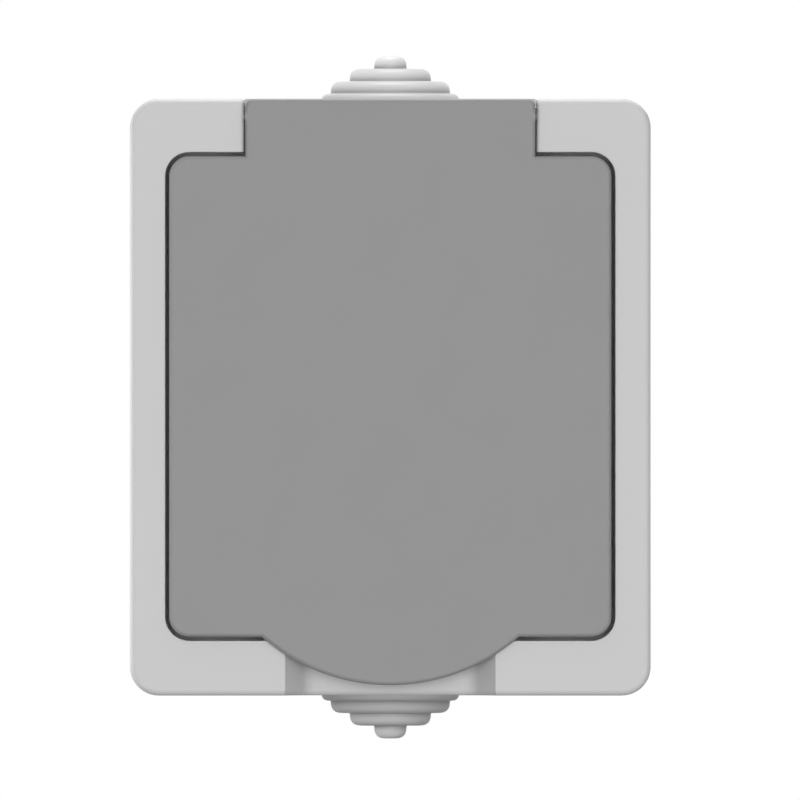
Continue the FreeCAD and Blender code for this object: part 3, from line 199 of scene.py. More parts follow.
def spokes(angle, across, beside):
    """Directions u cos a + v sin a for an array of angles."""
    return across * np.cos(angle)[..., None] + beside * np.sin(angle)[..., None]


def soft_outline(corners, cuts, steps=6):
    """Closed outline with eased corners: (1 - t)^2 a + 2 t (1 - t) c + t^2 b, where c is the
    corner and a and b lie the cut's length from it on its two sides."""
    corner = np.array(corners, float)
    cut = np.array(cuts, float)[:, None]
    back = np.roll(corner, 1, axis=0) - corner
    ahead = np.roll(corner, -1, axis=0) - corner
    a = corner + cut * back / np.linalg.norm(back, axis=1, keepdims=True)
    b = corner + cut * ahead / np.linalg.norm(ahead, axis=1, keepdims=True)
    t = np.linspace(0.0, 1.0, steps)[None, :, None]
    curve = (1 - t) ** 2 * a[:, None] + 2 * t * (1 - t) * corner[:, None] + t ** 2 * b[:, None]
    return curve.reshape(-1, 2)


def turned(outline, centre, axis, across, sides=96):
    """Outline (r, h) turned round an axis: centre + r (u cos a + v sin a) + h axis, where u is
    the direction across and v stands square to u and the axis."""
    angle = full_circle(sides)[None, :, None]
    beside = np.cross(axis, across)
    radius, height = outline[:, 0, None, None], outline[:, 1, None, None]
    return centre + radius * (across * np.cos(angle) + beside * np.sin(angle)) + height * axis


def wire(path, radial, thickness, sides):
    """Round wire along a path: p + r s (n cos a + b sin a), where n is the radial direction made
    square to the path, b the third direction, and s shrinks to 0 over rounded ends."""
    along = np.gradient(path, axis=0)
    along /= np.linalg.norm(along, axis=1, keepdims=True)
    normal = radial - along * np.sum(radial * along, axis=1, keepdims=True)
    normal /= np.linalg.norm(normal, axis=1, keepdims=True)
    third = np.cross(along, normal)
    steps = np.linalg.norm(np.diff(path, axis=0), axis=1)
    run = np.concatenate([[0.0], np.cumsum(steps)])
    to_end = np.minimum(run, run[-1] - run) / (WIRE_END * thickness)
    shrink = np.sqrt(1.0 - (1.0 - np.clip(to_end, 0.0, 1.0)) ** 2)[:, None, None]
    angle = full_circle(sides)[None, :, None]
    circle = normal[:, None] * np.cos(angle) + third[:, None] * np.sin(angle)
    return path[:, None] + thickness * shrink * circle


def make_piece(name, surfaces, material, nodes, body=None):
    """Makes one object of several surfaces: seams and poles are merged, faces turned outwards,
    smooth with sharp creases; it stands for the named CAD nodes and rides on their body."""
    points = np.concatenate([part[0] for part in surfaces])
    counts = [len(part[0]) for part in surfaces]
    starts = np.cumsum([0] + counts[:-1])
    faces = np.concatenate([part[1] + start for part, start in zip(surfaces, starts)])
    mesh = bpy.data.meshes.new(name)
    mesh.from_pydata(points.tolist(), [], faces.tolist())
    work = bmesh.new()
    work.from_mesh(mesh)
    bmesh.ops.remove_doubles(work, verts=work.verts, dist=WELD)
    bmesh.ops.recalc_face_normals(work, faces=work.faces)
    work.to_mesh(mesh)
    work.free()
    mesh.materials.append(material)
    mesh.shade_smooth()
    mesh.set_sharp_from_angle(angle=SHARP_ANGLE)
    piece = bpy.data.objects.new(name, mesh)
    bpy.context.scene.collection.objects.link(piece)
    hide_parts(*nodes)
    if body:
        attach(piece, body)
    return piece


# Materials


def put(tree, kind, links=(), **values):
    """Adds a shader node, sets its values and joins its inputs to other nodes' outputs."""
    node = tree.nodes.new(kind)
    for key, value in values.items():
        setattr(node, key, value)
    for socket, source in links:
        tree.links.new(source, node.inputs[socket])
    return node


def blank_material(name):
    """A material with only its Principled shader, and the object's own coordinates."""
    material = bpy.data.materials.new(name)
    material.use_nodes = True
    tree = material.node_tree
    place = put(tree, "ShaderNodeTexCoord").outputs["Object"]
    return material, tree, tree.nodes["Principled BSDF"], place


def noise(tree, place, size, detail=2.0, roughness=0.5):
    """Noise whose features are about one size across, in metres."""
    node = put(tree, "ShaderNodeTexNoise", [("Vector", place)])
    node.inputs["Scale"].default_value = 1.0 / size
    node.inputs["Detail"].default_value = detail
    node.inputs["Roughness"].default_value = roughness
    return node.outputs["Fac"]


def spread(tree, value, low, high, near=NOISE_LOW, far=NOISE_HIGH):
    """Carries a noise value from its usual range to a range between two numbers."""
    node = put(tree, "ShaderNodeMapRange", [("Value", value)])
    node.inputs["From Min"].default_value = near
    node.inputs["From Max"].default_value = far
    node.inputs["To Min"].default_value = low
    node.inputs["To Max"].default_value = high
    return node.outputs["Result"]


def shades(tree, value, tint, change):
    """A tint that a noise value makes a little darker and lighter."""
    ramp = put(tree, "ShaderNodeValToRGB", [("Fac", value)])
    stops = zip(ramp.color_ramp.elements, (NOISE_LOW, NOISE_HIGH), (1.0 - change, 1.0 + change))
    for stop, position, share in stops:
        stop.position = position
        stop.color = [min(1.0, channel * share) for channel in tint] + [1.0]
    return ramp.outputs["Color"]


def gloss_between(tree, shader, value, low, high):
    """Lets a noise value carry the roughness from one number to another."""
    tree.links.new(spread(tree, value, low, high), shader.inputs["Roughness"])


def bumps(tree, shader, height, depth, strength, under=None):
    """Adds relief of a depth in metres, over another relief if there is one."""
    node = put(tree, "ShaderNodeBump", [("Height", height)])
    node.inputs["Distance"].default_value = depth
    node.inputs["Strength"].default_value = strength
    if under is not None:
        tree.links.new(under, node.inputs["Normal"])
    tree.links.new(node.outputs["Normal"], shader.inputs["Normal"])
    return node.outputs["Normal"]


def moulded_plastic(name, tint, roughness, grain, relief):
    """Spark-textured moulded plastic: fine grain, slow flow waves, and slight changes of tone
    and gloss from the moulding."""
    material, tree, shader, place = blank_material(name)
    flow = noise(tree, place, FLOW_WIDTH, detail=3.0)
    cells = put(tree, "ShaderNodeTexVoronoi", [("Vector", place)])
    cells.inputs["Scale"].default_value = 1.0 / (grain * 1.6)
    fine = noise(tree, place, grain, detail=3.0, roughness=0.6)
    waves = bumps(tree, shader, flow, FLOW_DEPTH, strength=0.08)
    pits = bumps(tree, shader, cells.outputs["Distance"], relief, strength=0.25, under=waves)
    bumps(tree, shader, fine, relief, strength=0.4, under=pits)
    tree.links.new(shades(tree, flow, tint, change=0.004), shader.inputs["Base Color"])
    gloss = noise(tree, place, GLOSS_WIDTH, detail=4.0)
    gloss_between(tree, shader, gloss, roughness - 0.012, roughness + 0.015)
    shader.inputs["IOR"].default_value = POLYMER_IOR
    shader.inputs["Specular IOR Level"].default_value = 0.35
    return material


def soft_rubber(name, tint, roughness, shine, grain, bloom, painted_crease_share=1.0):
    """Moulded rubber: matt, with a powdery bloom in patches and a fine orange-peel skin; painted
    shade darkens it where the surface's crease attribute is 1, to a share of its tone."""
    material, tree, shader, place = blank_material(name)
    patches = noise(tree, place, BLOOM_WIDTH, detail=4.0, roughness=0.6)
    skin = noise(tree, place, grain, detail=2.0)
    swell = bumps(tree, shader, patches, SWELL_DEPTH, strength=0.25)
    bumps(tree, shader, skin, SKIN_DEPTH, strength=0.4, under=swell)
    tone = shades(tree, patches, tint, bloom)
    # Painted shade: the crease attribute darkens the rubber's tone in the creases and on the steps'
    # shelves
    if painted_crease_share < 1.0:
        crease = put(tree, "ShaderNodeAttribute", attribute_name="crease").outputs["Fac"]
        share = spread(tree, crease, 1.0, painted_crease_share, near=0.0, far=1.0)
        painted_shade = put(tree, "ShaderNodeVectorMath", [(0, tone), (1, share)], operation="MULTIPLY")
        tone = painted_shade.outputs[0]
    tree.links.new(tone, shader.inputs["Base Color"])
    gloss_between(tree, shader, patches, roughness - 0.06, roughness + 0.08)
    shader.inputs["IOR"].default_value = POLYMER_IOR
    shader.inputs["Specular IOR Level"].default_value = shine
    return material


def plain_metal(name, tint, roughness, stretch, streak):
    """Drawn or stamped metal: streaks along one direction over a cloudy plating."""
    material, tree, shader, place = blank_material(name)
    pulled = put(tree, "ShaderNodeMapping", [("Vector", place)])
    pulled.inputs["Scale"].default_value = stretch
    streaks = noise(tree, pulled.outputs["Vector"], streak, detail=4.0, roughness=0.65)
    clouds = noise(tree, place, CLOUD_WIDTH, detail=3.0)
    cloudy = bumps(tree, shader, clouds, CLOUD_DEPTH, strength=0.2)
    bumps(tree, shader, streaks, STREAK_DEPTH, strength=0.5, under=cloudy)
    tree.links.new(shades(tree, clouds, tint, change=0.06), shader.inputs["Base Color"])
    gloss_between(tree, shader, streaks, roughness - 0.07, roughness + 0.1)
    shader.inputs["Metallic"].default_value = 1.0
    return material


def paint(material, *nodes):
    """Gives CAD nodes one material in place of the frame's own."""
    for node in nodes:
        mesh = NODES[node].data
        mesh.materials.clear()
        mesh.materials.append(material)


# Settings that a user would change


class SOCKET_PG_finish(PropertyGroup):
    """Colours and surface of the mouldings, the rubber and the metal."""

    housing: colour("Housing", "Moulded box and front cover", (0.57, 0.57, 0.57))
    lid: colour("Lid", "Moulded lid", (0.26, 0.26, 0.26))
    insert: colour("Plug well", "Moulded plug well under the lid", (0.55, 0.55, 0.54))
    carrier: colour("Carrier", "Heat-proof contact carrier", (0.74, 0.71, 0.63))
    shutter: colour("Shutter", "Sliding shutter behind the pin holes", (0.30, 0.30, 0.31))
    rubber: colour("Cable entries", "Soft rubber of the cable entries", (0.60, 0.60, 0.60))
    seal: colour("Seals", "Seal rubber", (0.05, 0.05, 0.052))
    steel: colour("Steel", "Zinc-plated steel", (0.72, 0.72, 0.70))
    screws: colour("Screws", "Zinc-plated screws, dulled by handling", (0.50, 0.50, 0.49))
    pin: colour("Hinge pin", "Dark oiled steel of the hinge pin", (0.16, 0.16, 0.165))
    brass: colour("Brass", "Bare brass of the contacts", (0.78, 0.60, 0.30))
    grain: length("Grain", "Size of the spark texture on the mouldings", 0.00035, 0.00005)
    relief: length("Relief", "Depth of the spark texture", 0.000012)


class SOCKET_PG_entry(PropertyGroup):
    """Steps of the rubber cable entries."""

    flange_rise: length("Flange rise", "Height of the widest step over the box", 0.0022)
    step_rise: length("Step rise", "Height of the second step", 0.0017)
    ring_rise: length("Ring rise", "Height of the third step", 0.00175)
    step_in: length("Step in", "How far the second step stands back from the widest", 0.0013)
    ring_in: length("Ring in", "How far the third step stands back from the second", 0.00265)
    tip_in: length("Tip in", "How far the tip stands back from the third step", 0.0034)
    shoulder: length("Shoulder", "Rounding of every step's shoulder", 0.0015)
    inner_corner: length("Inner corner", "Rounding where one step stands on the next", 0.0002)
    # Painted shade in the creases: how far out of a crease it reaches, and the share of the
    # rubber's tone left there
    painted_shade_reach: length("Crease reach", "How far out of a crease the rubber is darker", 0.0005,
                         0.0001)
    painted_crease_shade: amount("Crease shade", "Share of the rubber's tone left in a crease", 0.62, 0.0,
                         1.0)
    hole_lap: length("Hole lap", "How far the flange reaches over the hole's edge", 0.0016)
    lip_lap: length("Lip lap", "How far the inner lip reaches behind the hole's edge", 0.0012)
    wall: length("Wall", "Wall of the box that the entry sits in", 0.0022)
    skin: length("Skin", "Rubber thickness of the steps", 0.0013)


class SOCKET_PG_seal(PropertyGroup):
    """Rubber seals and washers."""

    lid_width: length("Lid seal width", "Width of the ring under the lid", 0.0042)
    lip: length("Lip", "Width of the soft lips of the lid's seal", 0.0007)
    flange_width: length("Flange seal width", "Width of the ring under the well's flange", 0.002)
    housing_width: length("Housing seal width", "Width of the cord between box and cover", 0.0015)
    housing_corner: length("Housing seal corner", "Outer corner radius of that cord", 0.0028)
    washer_radius: length("Washer radius", "Outer radius of the screws' washers", 0.0038)
    washer_hole: length("Washer hole", "Inner radius of the screws' washers", 0.00195)
    easing: length("Easing", "Rounding of the rubber's edges", 0.0004)


class SOCKET_PG_hinge(PropertyGroup):
    """Hinge pin."""

    pin_dome: length("Pin dome", "Length of the pin's domed ends", 0.0003)
    knurl_length: length("Knurl length", "Length of the knurl in the ear", 0.0022)
    knurl_depth: length("Knurl depth", "Depth of the knurl's grooves", 0.00006)
    knurl_teeth: IntProperty(name="Knurl teeth", description="Grooves round the pin", default=16,
                             min=4)


class SOCKET_PG_springs(PropertyGroup):
    """Wire springs of the lid and the shutter."""

    wire_radius: length("Wire radius", "Half the thickness of the spring wire", 0.0002, 0.00005)
    lid_turns: amount("Lid spring turns", "Turns round the hinge pin", 6.0, 1.0, 20.0)
    neck_tang: length("Neck tang", "Straight end of the wire in the lid's neck", 0.0024)
    ear_tang: length("Ear tang", "Straight end of the wire in the cover's ear", 0.00252)
    bend: length("Bend", "Length of wire that bends from the coil to its end", 0.0009)
    shutter_turns: amount("Shutter spring turns", "Turns of the shutter's spring", 7.0, 2.0, 20.0)
    end_pitch: length("End pitch", "Rise of the closed turns at the spring's ends", 0.00042)


class SOCKET_PG_screws(PropertyGroup):
    """Screw heads, drives and threads."""

    cover_head: length("Cover screw head", "Head radius of the cover screws", 0.0034)
    cover_head_height: length("Cover screw head height", "Head height of the cover screws", 0.0022)
    cover_shank: length("Cover screw shank", "Thread radius of the cover screws", 0.0019)
    carrier_head: length("Carrier screw head", "Head radius of the carrier screws", 0.0028)
    carrier_head_height: length("Carrier screw head height", "Head height of the carrier screws",
                                0.0018)
    carrier_shank: length("Carrier screw shank", "Thread radius of the carrier and centre screws",
                          0.00145)
    centre_head: length("Centre screw head", "Head radius of the centre screw", 0.0033)
    centre_head_height: length("Centre screw head height", "Head height of the centre screw",
                               0.0015)
    drive_width: length("Drive width", "Width of the cross recess", 0.0009)
    drive_length: length("Drive length", "Length of the cross recess from end to end", 0.0038)
    drive_depth: length("Drive depth", "Depth of the cross recess at the middle", 0.0012)
    plastic_pitch: length("Plastic thread pitch", "Thread pitch of screws that cut into plastic",
                          0.0018)
    machine_pitch: length("Machine thread pitch", "Thread pitch of the machine screw", 0.0007)
    thread_depth: length("Thread depth", "Height of a thread in plastic over its core", 0.00045)
    tip_length: length("Tip length", "Length of the tapered tip", 0.0022)


class SOCKET_PG_studio(PropertyGroup):
    """Camera, soft light and floor."""

    pixel: length("Pixel", "Width of one pixel of the picture on the object", 0.0001382, 0.00001)
    picture_width: IntProperty(name="Picture width", description="Width of the picture in pixels",
                               default=800, min=16)
    centre_column: amount("Centre column", "Pixel column of the object's centre", 390.3, 0.0, 800.0)
    centre_row: amount("Centre row", "Pixel row of the object's centre", 397.2, 0.0, 800.0)
    lens: FloatProperty(name="Lens", description="Focal length, long for a straight-on view",
                        default=1650.0, min=50.0, unit="CAMERA")
    fill: amount("Fill", "Even light from all round", 0.20)
    sky: amount("Sky", "Brightness of the wide soft light from above", 0.32)
    box_light: amount("Soft boxes", "Brightness of the soft box at each side of the camera", 8.4)
    box_side: amount("Soft box angle", "Degrees that a soft box stands aside", 14.0, 0.0, 90.0)
    box_edge: amount("Soft box edge", "How tightly a soft box fades to its edge", 45.0, 1.0, 100.0)
    back_light: amount("Back light", "Brightness of the soft light behind the object", 1.2)
    top_strip: amount("Top strip", "Watts of the strip lamp over the object", 0.39, 0.0, 100.0)
    left_strip: amount("Left strip", "Watts of the strip lamp at the left", 0.41, 0.0, 100.0)
    right_strip: amount("Right strip", "Watts of the strip lamp at the right", 0.12, 0.0, 100.0)
    floor_drop: length("Floor drop", "Height of the object's centre over the floor", 0.8)
    floor_width: length("Floor width", "Width of the square floor", 0.6)
    floor_colour: colour("Floor", "Pale floor", (0.70, 0.70, 0.70))


SETTINGS = {
    "socket_finish": SOCKET_PG_finish,
    "socket_entry": SOCKET_PG_entry,
    "socket_seal": SOCKET_PG_seal,
    "socket_hinge": SOCKET_PG_hinge,
    "socket_springs": SOCKET_PG_springs,
    "socket_screws": SOCKET_PG_screws,
    "socket_studio": SOCKET_PG_studio,
}


# Pieces


class SOCKET_OT_housing(Operator):
    """Finish the box, the front cover and the lid as moulded plastic"""

    bl_idname = "socket.housing"
    bl_label = "Housing and lid"

    def execute(self, context):
        finish = context.scene.socket_finish
        grain, relief = finish.grain, finish.relief
        housing = moulded_plastic("housing_plastic", finish.housing, 0.52, grain, relief)
        lid = moulded_plastic("lid_plastic", finish.lid, 0.50, grain, relief)
        paint(housing, "back_box", "front_cover")
        paint(lid, "lid")
        return {"FINISHED"}


class SOCKET_OT_insert(Operator):
    """Finish the plug well, the shutter and the contact carrier"""

    bl_idname = "socket.insert"
    bl_label = "Insert"

    def execute(self, context):
        finish = context.scene.socket_finish
        grain, relief = finish.grain, finish.relief
        well = moulded_plastic("insert_plastic", finish.insert, 0.34, grain, relief / 2)
        carrier = moulded_plastic("carrier_plastic", finish.carrier, 0.62, grain * 2, relief * 2)
        shutter = moulded_plastic("shutter_plastic", finish.shutter, 0.30, grain, relief / 2)
        paint(well, "socket_dish", "socket_face")
        paint(carrier, "contact_carrier", "carrier_rear_plate")
        paint(shutter, "shutter")
        return {"FINISHED"}


class SOCKET_OT_contacts(Operator):
    """Finish the brass contacts and terminals and the steel earth strip"""

    bl_idname = "socket.contacts"
    bl_label = "Contacts"

    def execute(self, context):
        finish = context.scene.socket_finish
        brass = plain_metal("contact_brass", finish.brass, roughness=0.32,
                            stretch=(1.0, 0.15, 1.0), streak=0.0006)
        strip = plain_metal("strip_steel", finish.steel, roughness=0.28,
                            stretch=(1.0, 0.1, 0.1), streak=0.0005)
        paint(brass, "line_contact", "neutral_contact", "line_terminal", "neutral_terminal",
              "earth_terminal", "carrier_rivets")
        paint(strip, "earth_bracket", "terminal_screws")
        return {"FINISHED"}


def entry_steps(entry, radius, wall_face):
    """Radii of a cable entry's second step, third step and tip, and the heights they stand on."""
    step = radius - entry.step_in
    ring = step - entry.ring_in
    point = ring - entry.tip_in
    flange_top = wall_face + entry.flange_rise
    step_top = flange_top + entry.step_rise
    ring_top = step_top + entry.ring_rise
    return (step, ring, point), (flange_top, step_top, ring_top)


def entry_outline(entry, radius, wall_face, tip):
    """Outline of a cable entry from the tip's pole down its outside and back up its inside, as
    radius and height; each step is narrower and higher than the one below it."""
    (step, ring, point), (flange_top, step_top, ring_top) = entry_steps(entry, radius, wall_face)
    neck = radius - entry.hole_lap
    inside = wall_face - entry.wall
    lip = inside - entry.lip_lap
    skin, soft, tight = entry.skin, entry.shoulder, entry.inner_corner
    thin = skin * TIP_SKIN
    low_soft = min(soft, entry.step_in - tight)
    corners = [
        ((0.0, tip), 0.0), ((point, tip), soft), ((point, ring_top), tight),
        ((ring, ring_top), soft), ((ring, step_top), tight), ((step, step_top), soft),
        ((step, flange_top), tight), ((radius, flange_top), low_soft), ((radius, wall_face), tight),
        ((neck, wall_face), tight / 2), ((neck, inside), tight / 2),
        ((neck + entry.lip_lap, inside), tight), ((neck, lip), tight),
        ((step - skin, lip), tight), ((step - skin, step_top - skin), soft),
        ((ring - skin, step_top - skin), tight), ((ring - skin, ring_top - skin), soft),
        ((point - thin, ring_top - skin), tight), ((point - thin, tip - thin), tight),
        ((0.0, tip - thin), 0.0),
    ]
    return soft_outline([place for place, cut in corners], [cut for place, cut in corners], 7)


def mark_painted_crease_shade(piece, centre, creases, reach):
    """Stores how near each point lies to a crease, a circle of radius c at the height k: the most
    of e^-(a / reach)^2 (s + (1 - s) e^-(b / reach)^2), with a = |h - k|, b = |r - c| and s the
    share that a step's shelf has. The rubber paints shade by this value, darkest in the creases."""
    mesh = piece.data
    points = np.empty(len(mesh.vertices) * 3)
    mesh.vertices.foreach_get("co", points)
    x, y, z = points.reshape(-1, 3).T
    radius, height = np.hypot(x - centre[0], y - centre[1]), np.abs(z)
    where = np.array(creases)
    above = np.exp(-((height[:, None] - where[None, :, 1]) / reach) ** 2)
    beside = np.exp(-((radius[:, None] - where[None, :, 0]) / reach) ** 2)
    painted_shade_mask = (above * (PAINTED_SHELF_SHADE + (1.0 - PAINTED_SHELF_SHADE) * beside)).max(axis=1)
    layer = mesh.attributes.new("crease", "FLOAT", "POINT")
    layer.data.foreach_set("value", painted_shade_mask)


class SOCKET_OT_cable_entries(Operator):
    """Turn both stepped rubber cable entries, with rounded shoulders"""

    bl_idname = "socket.cable_entries"
    bl_label = "Cable entries"

    def execute(self, context):
        entry = context.scene.socket_entry
        rubber = soft_rubber("grommet_rubber", context.scene.socket_finish.rubber, roughness=0.46,
                             shine=0.4, grain=0.0003, bloom=0.012, painted_crease_share=entry.painted_crease_shade)
        wall_face = span("back_box")[1][2]
        for node, up in (("top_grommet", 1.0), ("bottom_grommet", -1.0)):
            low, high = span(node)
            centre = np.array([(low[0] + high[0]) / 2, (low[1] + high[1]) / 2, 0.0])
            radius = (high[0] - low[0]) / 2
            tip = max(abs(low[2]), abs(high[2]))
            outline = entry_outline(entry, radius, wall_face, tip)
            surface = grid(turned(outline, centre, ALONG_Z * up, ALONG_X))
            piece = make_piece(node + "_rubber", [surface], rubber, [node],
                               "housing")
            # Painted shade in the creases between the steps and at the box, drawn by the crease
            # attribute
            radii, heights = entry_steps(entry, radius, wall_face)
            creases = [*zip(radii, heights), (radius, wall_face)]
            mark_painted_crease_shade(piece, centre, creases, entry.painted_shade_reach)
        return {"FINISHED"}


def ring_outline(inner, outer, back, front, cut):
    """Closed outline of a flat ring with eased corners, as radius and depth coordinate."""
    corners = [(inner, back), (inner, front), (outer, front), (outer, back)]
    return soft_outline(corners, [cut] * 4)


def lipped_outline(inner, outer, back, front, lip):
    """Closed outline of the lid's seal: flat at the lid, and two soft lips with a groove between
    them towards the plug well."""
    middle = (inner + outer) / 2
    corners = [(inner, front), (inner, back), (inner + lip, back), (middle, back - lip),
               (outer - lip, back), (outer, back), (outer, front)]
    return soft_outline(corners, [lip / 4, lip / 2, lip / 2, lip, lip / 2, lip / 2, lip / 4])


def round_ring(outline, centre, sides=120):
    """A closed outline turned round the depth direction through a centre."""
    rows = turned(outline, centre, ALONG_Y, ALONG_X, sides)
    return grid(rows, wrap_rows=True)


def frame_ring(outline, low, high, corner, steps=12):
    """A closed outline carried round a rounded rectangle: at each corner the point is the corner's
    centre plus r (cos a, sin a), and the straight sides join one corner to the next."""
    quarter = np.linspace(0.0, FULL_TURN / 4, steps)
    angle = (np.arange(4)[:, None] * FULL_TURN / 4 + quarter[None]).ravel()
    side_x = np.repeat([1.0, -1.0, -1.0, 1.0], steps)
    side_z = np.repeat([1.0, 1.0, -1.0, -1.0], steps)
    middle, half = (low + high) / 2, (high - low) / 2 - corner
    centre_x = middle[0] + side_x * half[0]
    centre_z = middle[2] + side_z * half[2]
    radius = outline[:, 0, None]
    points = np.stack([centre_x + radius * np.cos(angle),
                       np.broadcast_to(outline[:, 1, None], (len(outline), len(angle))),
                       centre_z + radius * np.sin(angle)], axis=-1)
    return grid(points, wrap_rows=True)


class SOCKET_OT_seals(Operator):
    """Make the lid's lipped seal, the well's ring, the housing's cord and the screws' washers"""

    bl_idname = "socket.seals"
    bl_label = "Seals"

    def execute(self, context):
        seal = context.scene.socket_seal
        rubber = soft_rubber("seal_rubber", context.scene.socket_finish.seal, roughness=0.66,
                             shine=0.22, grain=0.00025, bloom=0.12)

        low, high = span("lid_seal")
        outer = (high[0] - low[0]) / 2
        outline = lipped_outline(outer - seal.lid_width, outer, high[1], low[1], seal.lip)
        ring = round_ring(outline, (low + high) / 2 * (ALONG_X + ALONG_Z))
        make_piece("lid_seal_rubber", [ring], rubber, ["lid_seal"], "lid")

        low, high = span("dish_seal")
        outer = (high[0] - low[0]) / 2
        outline = ring_outline(outer - seal.flange_width, outer, high[1], low[1], seal.easing)
        ring = round_ring(outline, (low + high) / 2 * (ALONG_X + ALONG_Z))
        make_piece("dish_seal_rubber", [ring], rubber, ["dish_seal"], "housing")

        low, high = span("housing_seal")
        inner = seal.housing_corner - seal.housing_width
        outline = ring_outline(inner, seal.housing_corner, high[1], low[1], seal.easing)
        cord = frame_ring(outline, low, high, seal.housing_corner)
        make_piece("housing_seal_rubber", [cord], rubber, ["housing_seal"],
                   "housing")

        low, high = span("cover_screw_seals")
        outline = ring_outline(seal.washer_hole, seal.washer_radius, high[1], low[1],
                               seal.easing / 2)
        washers = [round_ring(outline, place * (ALONG_X + ALONG_Z), 48)
                   for place in four_corners(low, high, seal.washer_radius)]
        make_piece("screw_washers", washers, rubber, ["cover_screw_seals"],
                   "housing")
        return {"FINISHED"}


def four_corners(low, high, inset):
    """Centres of four like things whose common box and reach are known."""
    xs = (low[0] + inset, high[0] - inset)
    zs = (low[2] + inset, high[2] - inset)
    return [np.array([x, low[1], z]) for x in xs for z in zs]


def cross_columns():
    """Angles of one cross-headed screw's columns, as shares of the way from the middle of an arm
    to its wall (0 to 1) and from its wall to the diagonal (1 to 2), and which lie in the arm."""
    share = np.array([-1.67, -1.33, -1.0, -1.0, -0.5, 0.0, 0.5, 1.0, 1.0, 1.33, 1.67, 2.0])
    inside = np.zeros(len(share), dtype=bool)
    inside[3:8] = True
    quarter = np.repeat(np.arange(4) * FULL_TURN / 4, len(share))
    return np.tile(share, 4), np.tile(inside, 4), quarter


def cross_head(screws, head_radius, head_height, dome, edge):
    """Rows of a screw head from its middle to its rounded edge, a dome h = top - dome (r / R)^2
    with a cross sunk into it, whose floor rises towards the ends of its arms."""
    share, inside, quarter = cross_columns()
    half, arm = screws.drive_width / 2, screws.drive_length / 2
    hub = half * math.sqrt(2.0)

    # (radius, 0 sunk, 1 cross, 2 full dome)
    sunk = [(0.0, 0), (hub / 2, 0), (hub, 0)]
    cross = [(hub + (arm - hub) * part, 1) for part in (0.0, 0.2, 0.5, 0.8, 1.0)]
    full = [(arm, 2), (arm + (head_radius - edge - arm) * 0.5, 2), (head_radius - edge, 2)]
    radius, level = np.array(sunk + cross + full).T
    radius = radius[:, None]
    top = head_height - dome * (radius / head_radius) ** 2
    floor = head_height - screws.drive_depth * (1.0 - CROSS_RISE * radius / arm)
    is_sunk = (level[:, None] == 0) | ((level[:, None] == 1) & inside[None])
    height = np.where(is_sunk, floor, top)
    wall = np.arcsin(np.clip(half / np.maximum(radius, hub), 0.0, 1.0))
    away = np.abs(share)[None]
    angle = np.where(away <= 1.0, away * wall, wall + (away - 1.0) * (FULL_TURN / 8 - wall))
    angle = np.sign(share)[None] * angle + quarter[None]
    return np.broadcast_to(radius, height.shape), angle, height


def head_edge(head_radius, head_height, dome, edge, shank, above, even):
    """Rows of a head's rounded edge, its side and its underside: r = R - edge (1 - sin t) and
    h = edge's top - edge (1 - cos t), under the angles of the row above."""
    turn = np.linspace(0.25, 1.0, 4)[:, None] * FULL_TURN / 4
    edge_top = head_height - dome * (1.0 - edge / head_radius) ** 2
    radius = np.vstack([head_radius - edge + edge * np.sin(turn), [[head_radius]], [[shank]]])
    height = np.vstack([edge_top - edge * (1.0 - np.cos(turn)), [[0.0]], [[0.0]]])
    angle = np.vstack([np.repeat(above[None], len(radius) - 1, axis=0), even])
    ones = np.ones_like(even)
    return radius * ones, angle, height * ones


def threaded_shank(screws, shank, reach, pitch, depth, even):
    """Rows of a shank down to its tapered tip. Its radius is its core plus a ridge that climbs by
    one pitch a turn: ridge(u) = 1 - |2 u - 1| / w, where u is the fraction of (d / pitch +
    a / 2 pi) and d the way from the head."""
    steps = int(reach / pitch * ROWS_PER_PITCH)
    run = np.linspace(0.0, 1.0, steps)[:, None] * reach
    turns = (run / pitch + even / FULL_TURN) % 1.0
    ridge = np.clip(1.0 - np.abs(2.0 * turns - 1.0) / RIDGE_WIDTH, 0.0, 1.0)
    fade = smooth(run / (1.5 * pitch)) * smooth((reach - run) / pitch)
    taper = np.sqrt(np.clip((reach - run) / screws.tip_length, 0.0, 1.0))
    radius = (shank - depth + depth * ridge * fade) * taper
    radius[0] = shank
    return radius, np.repeat(even, steps, axis=0), -run * np.ones_like(even)


def screw_rows(screws, head_radius, head_height, shank, reach, pitch, depth):
    """Cross-headed screw as radii, angles and heights over the seat, row by row from the middle of
    the head to the tip."""
    dome, edge = HEAD_DOME * head_height, HEAD_EDGE * head_radius
    head = cross_head(screws, head_radius, head_height, dome, edge)
    above = head[1][-1]
    columns = len(above)
    even = np.linspace(-FULL_TURN / 8, FULL_TURN * 7 / 8, columns, endpoint=False)[None]
    even = even + FULL_TURN / columns
    rim = head_edge(head_radius, head_height, dome, edge, shank, above, even)
    thread = threaded_shank(screws, shank, reach, pitch, depth, even)
    return [np.vstack(parts) for parts in zip(head, rim, thread)]


def placed_screw(rows, seat):
    """A screw's rows as points: seat + r (cos a, 0, sin a) - h along the depth direction."""
    radii, angles, heights = rows
    across = radii[..., None] * spokes(angles, ALONG_X, ALONG_Z)
    return grid(seat + across - ALONG_Y * heights[..., None])


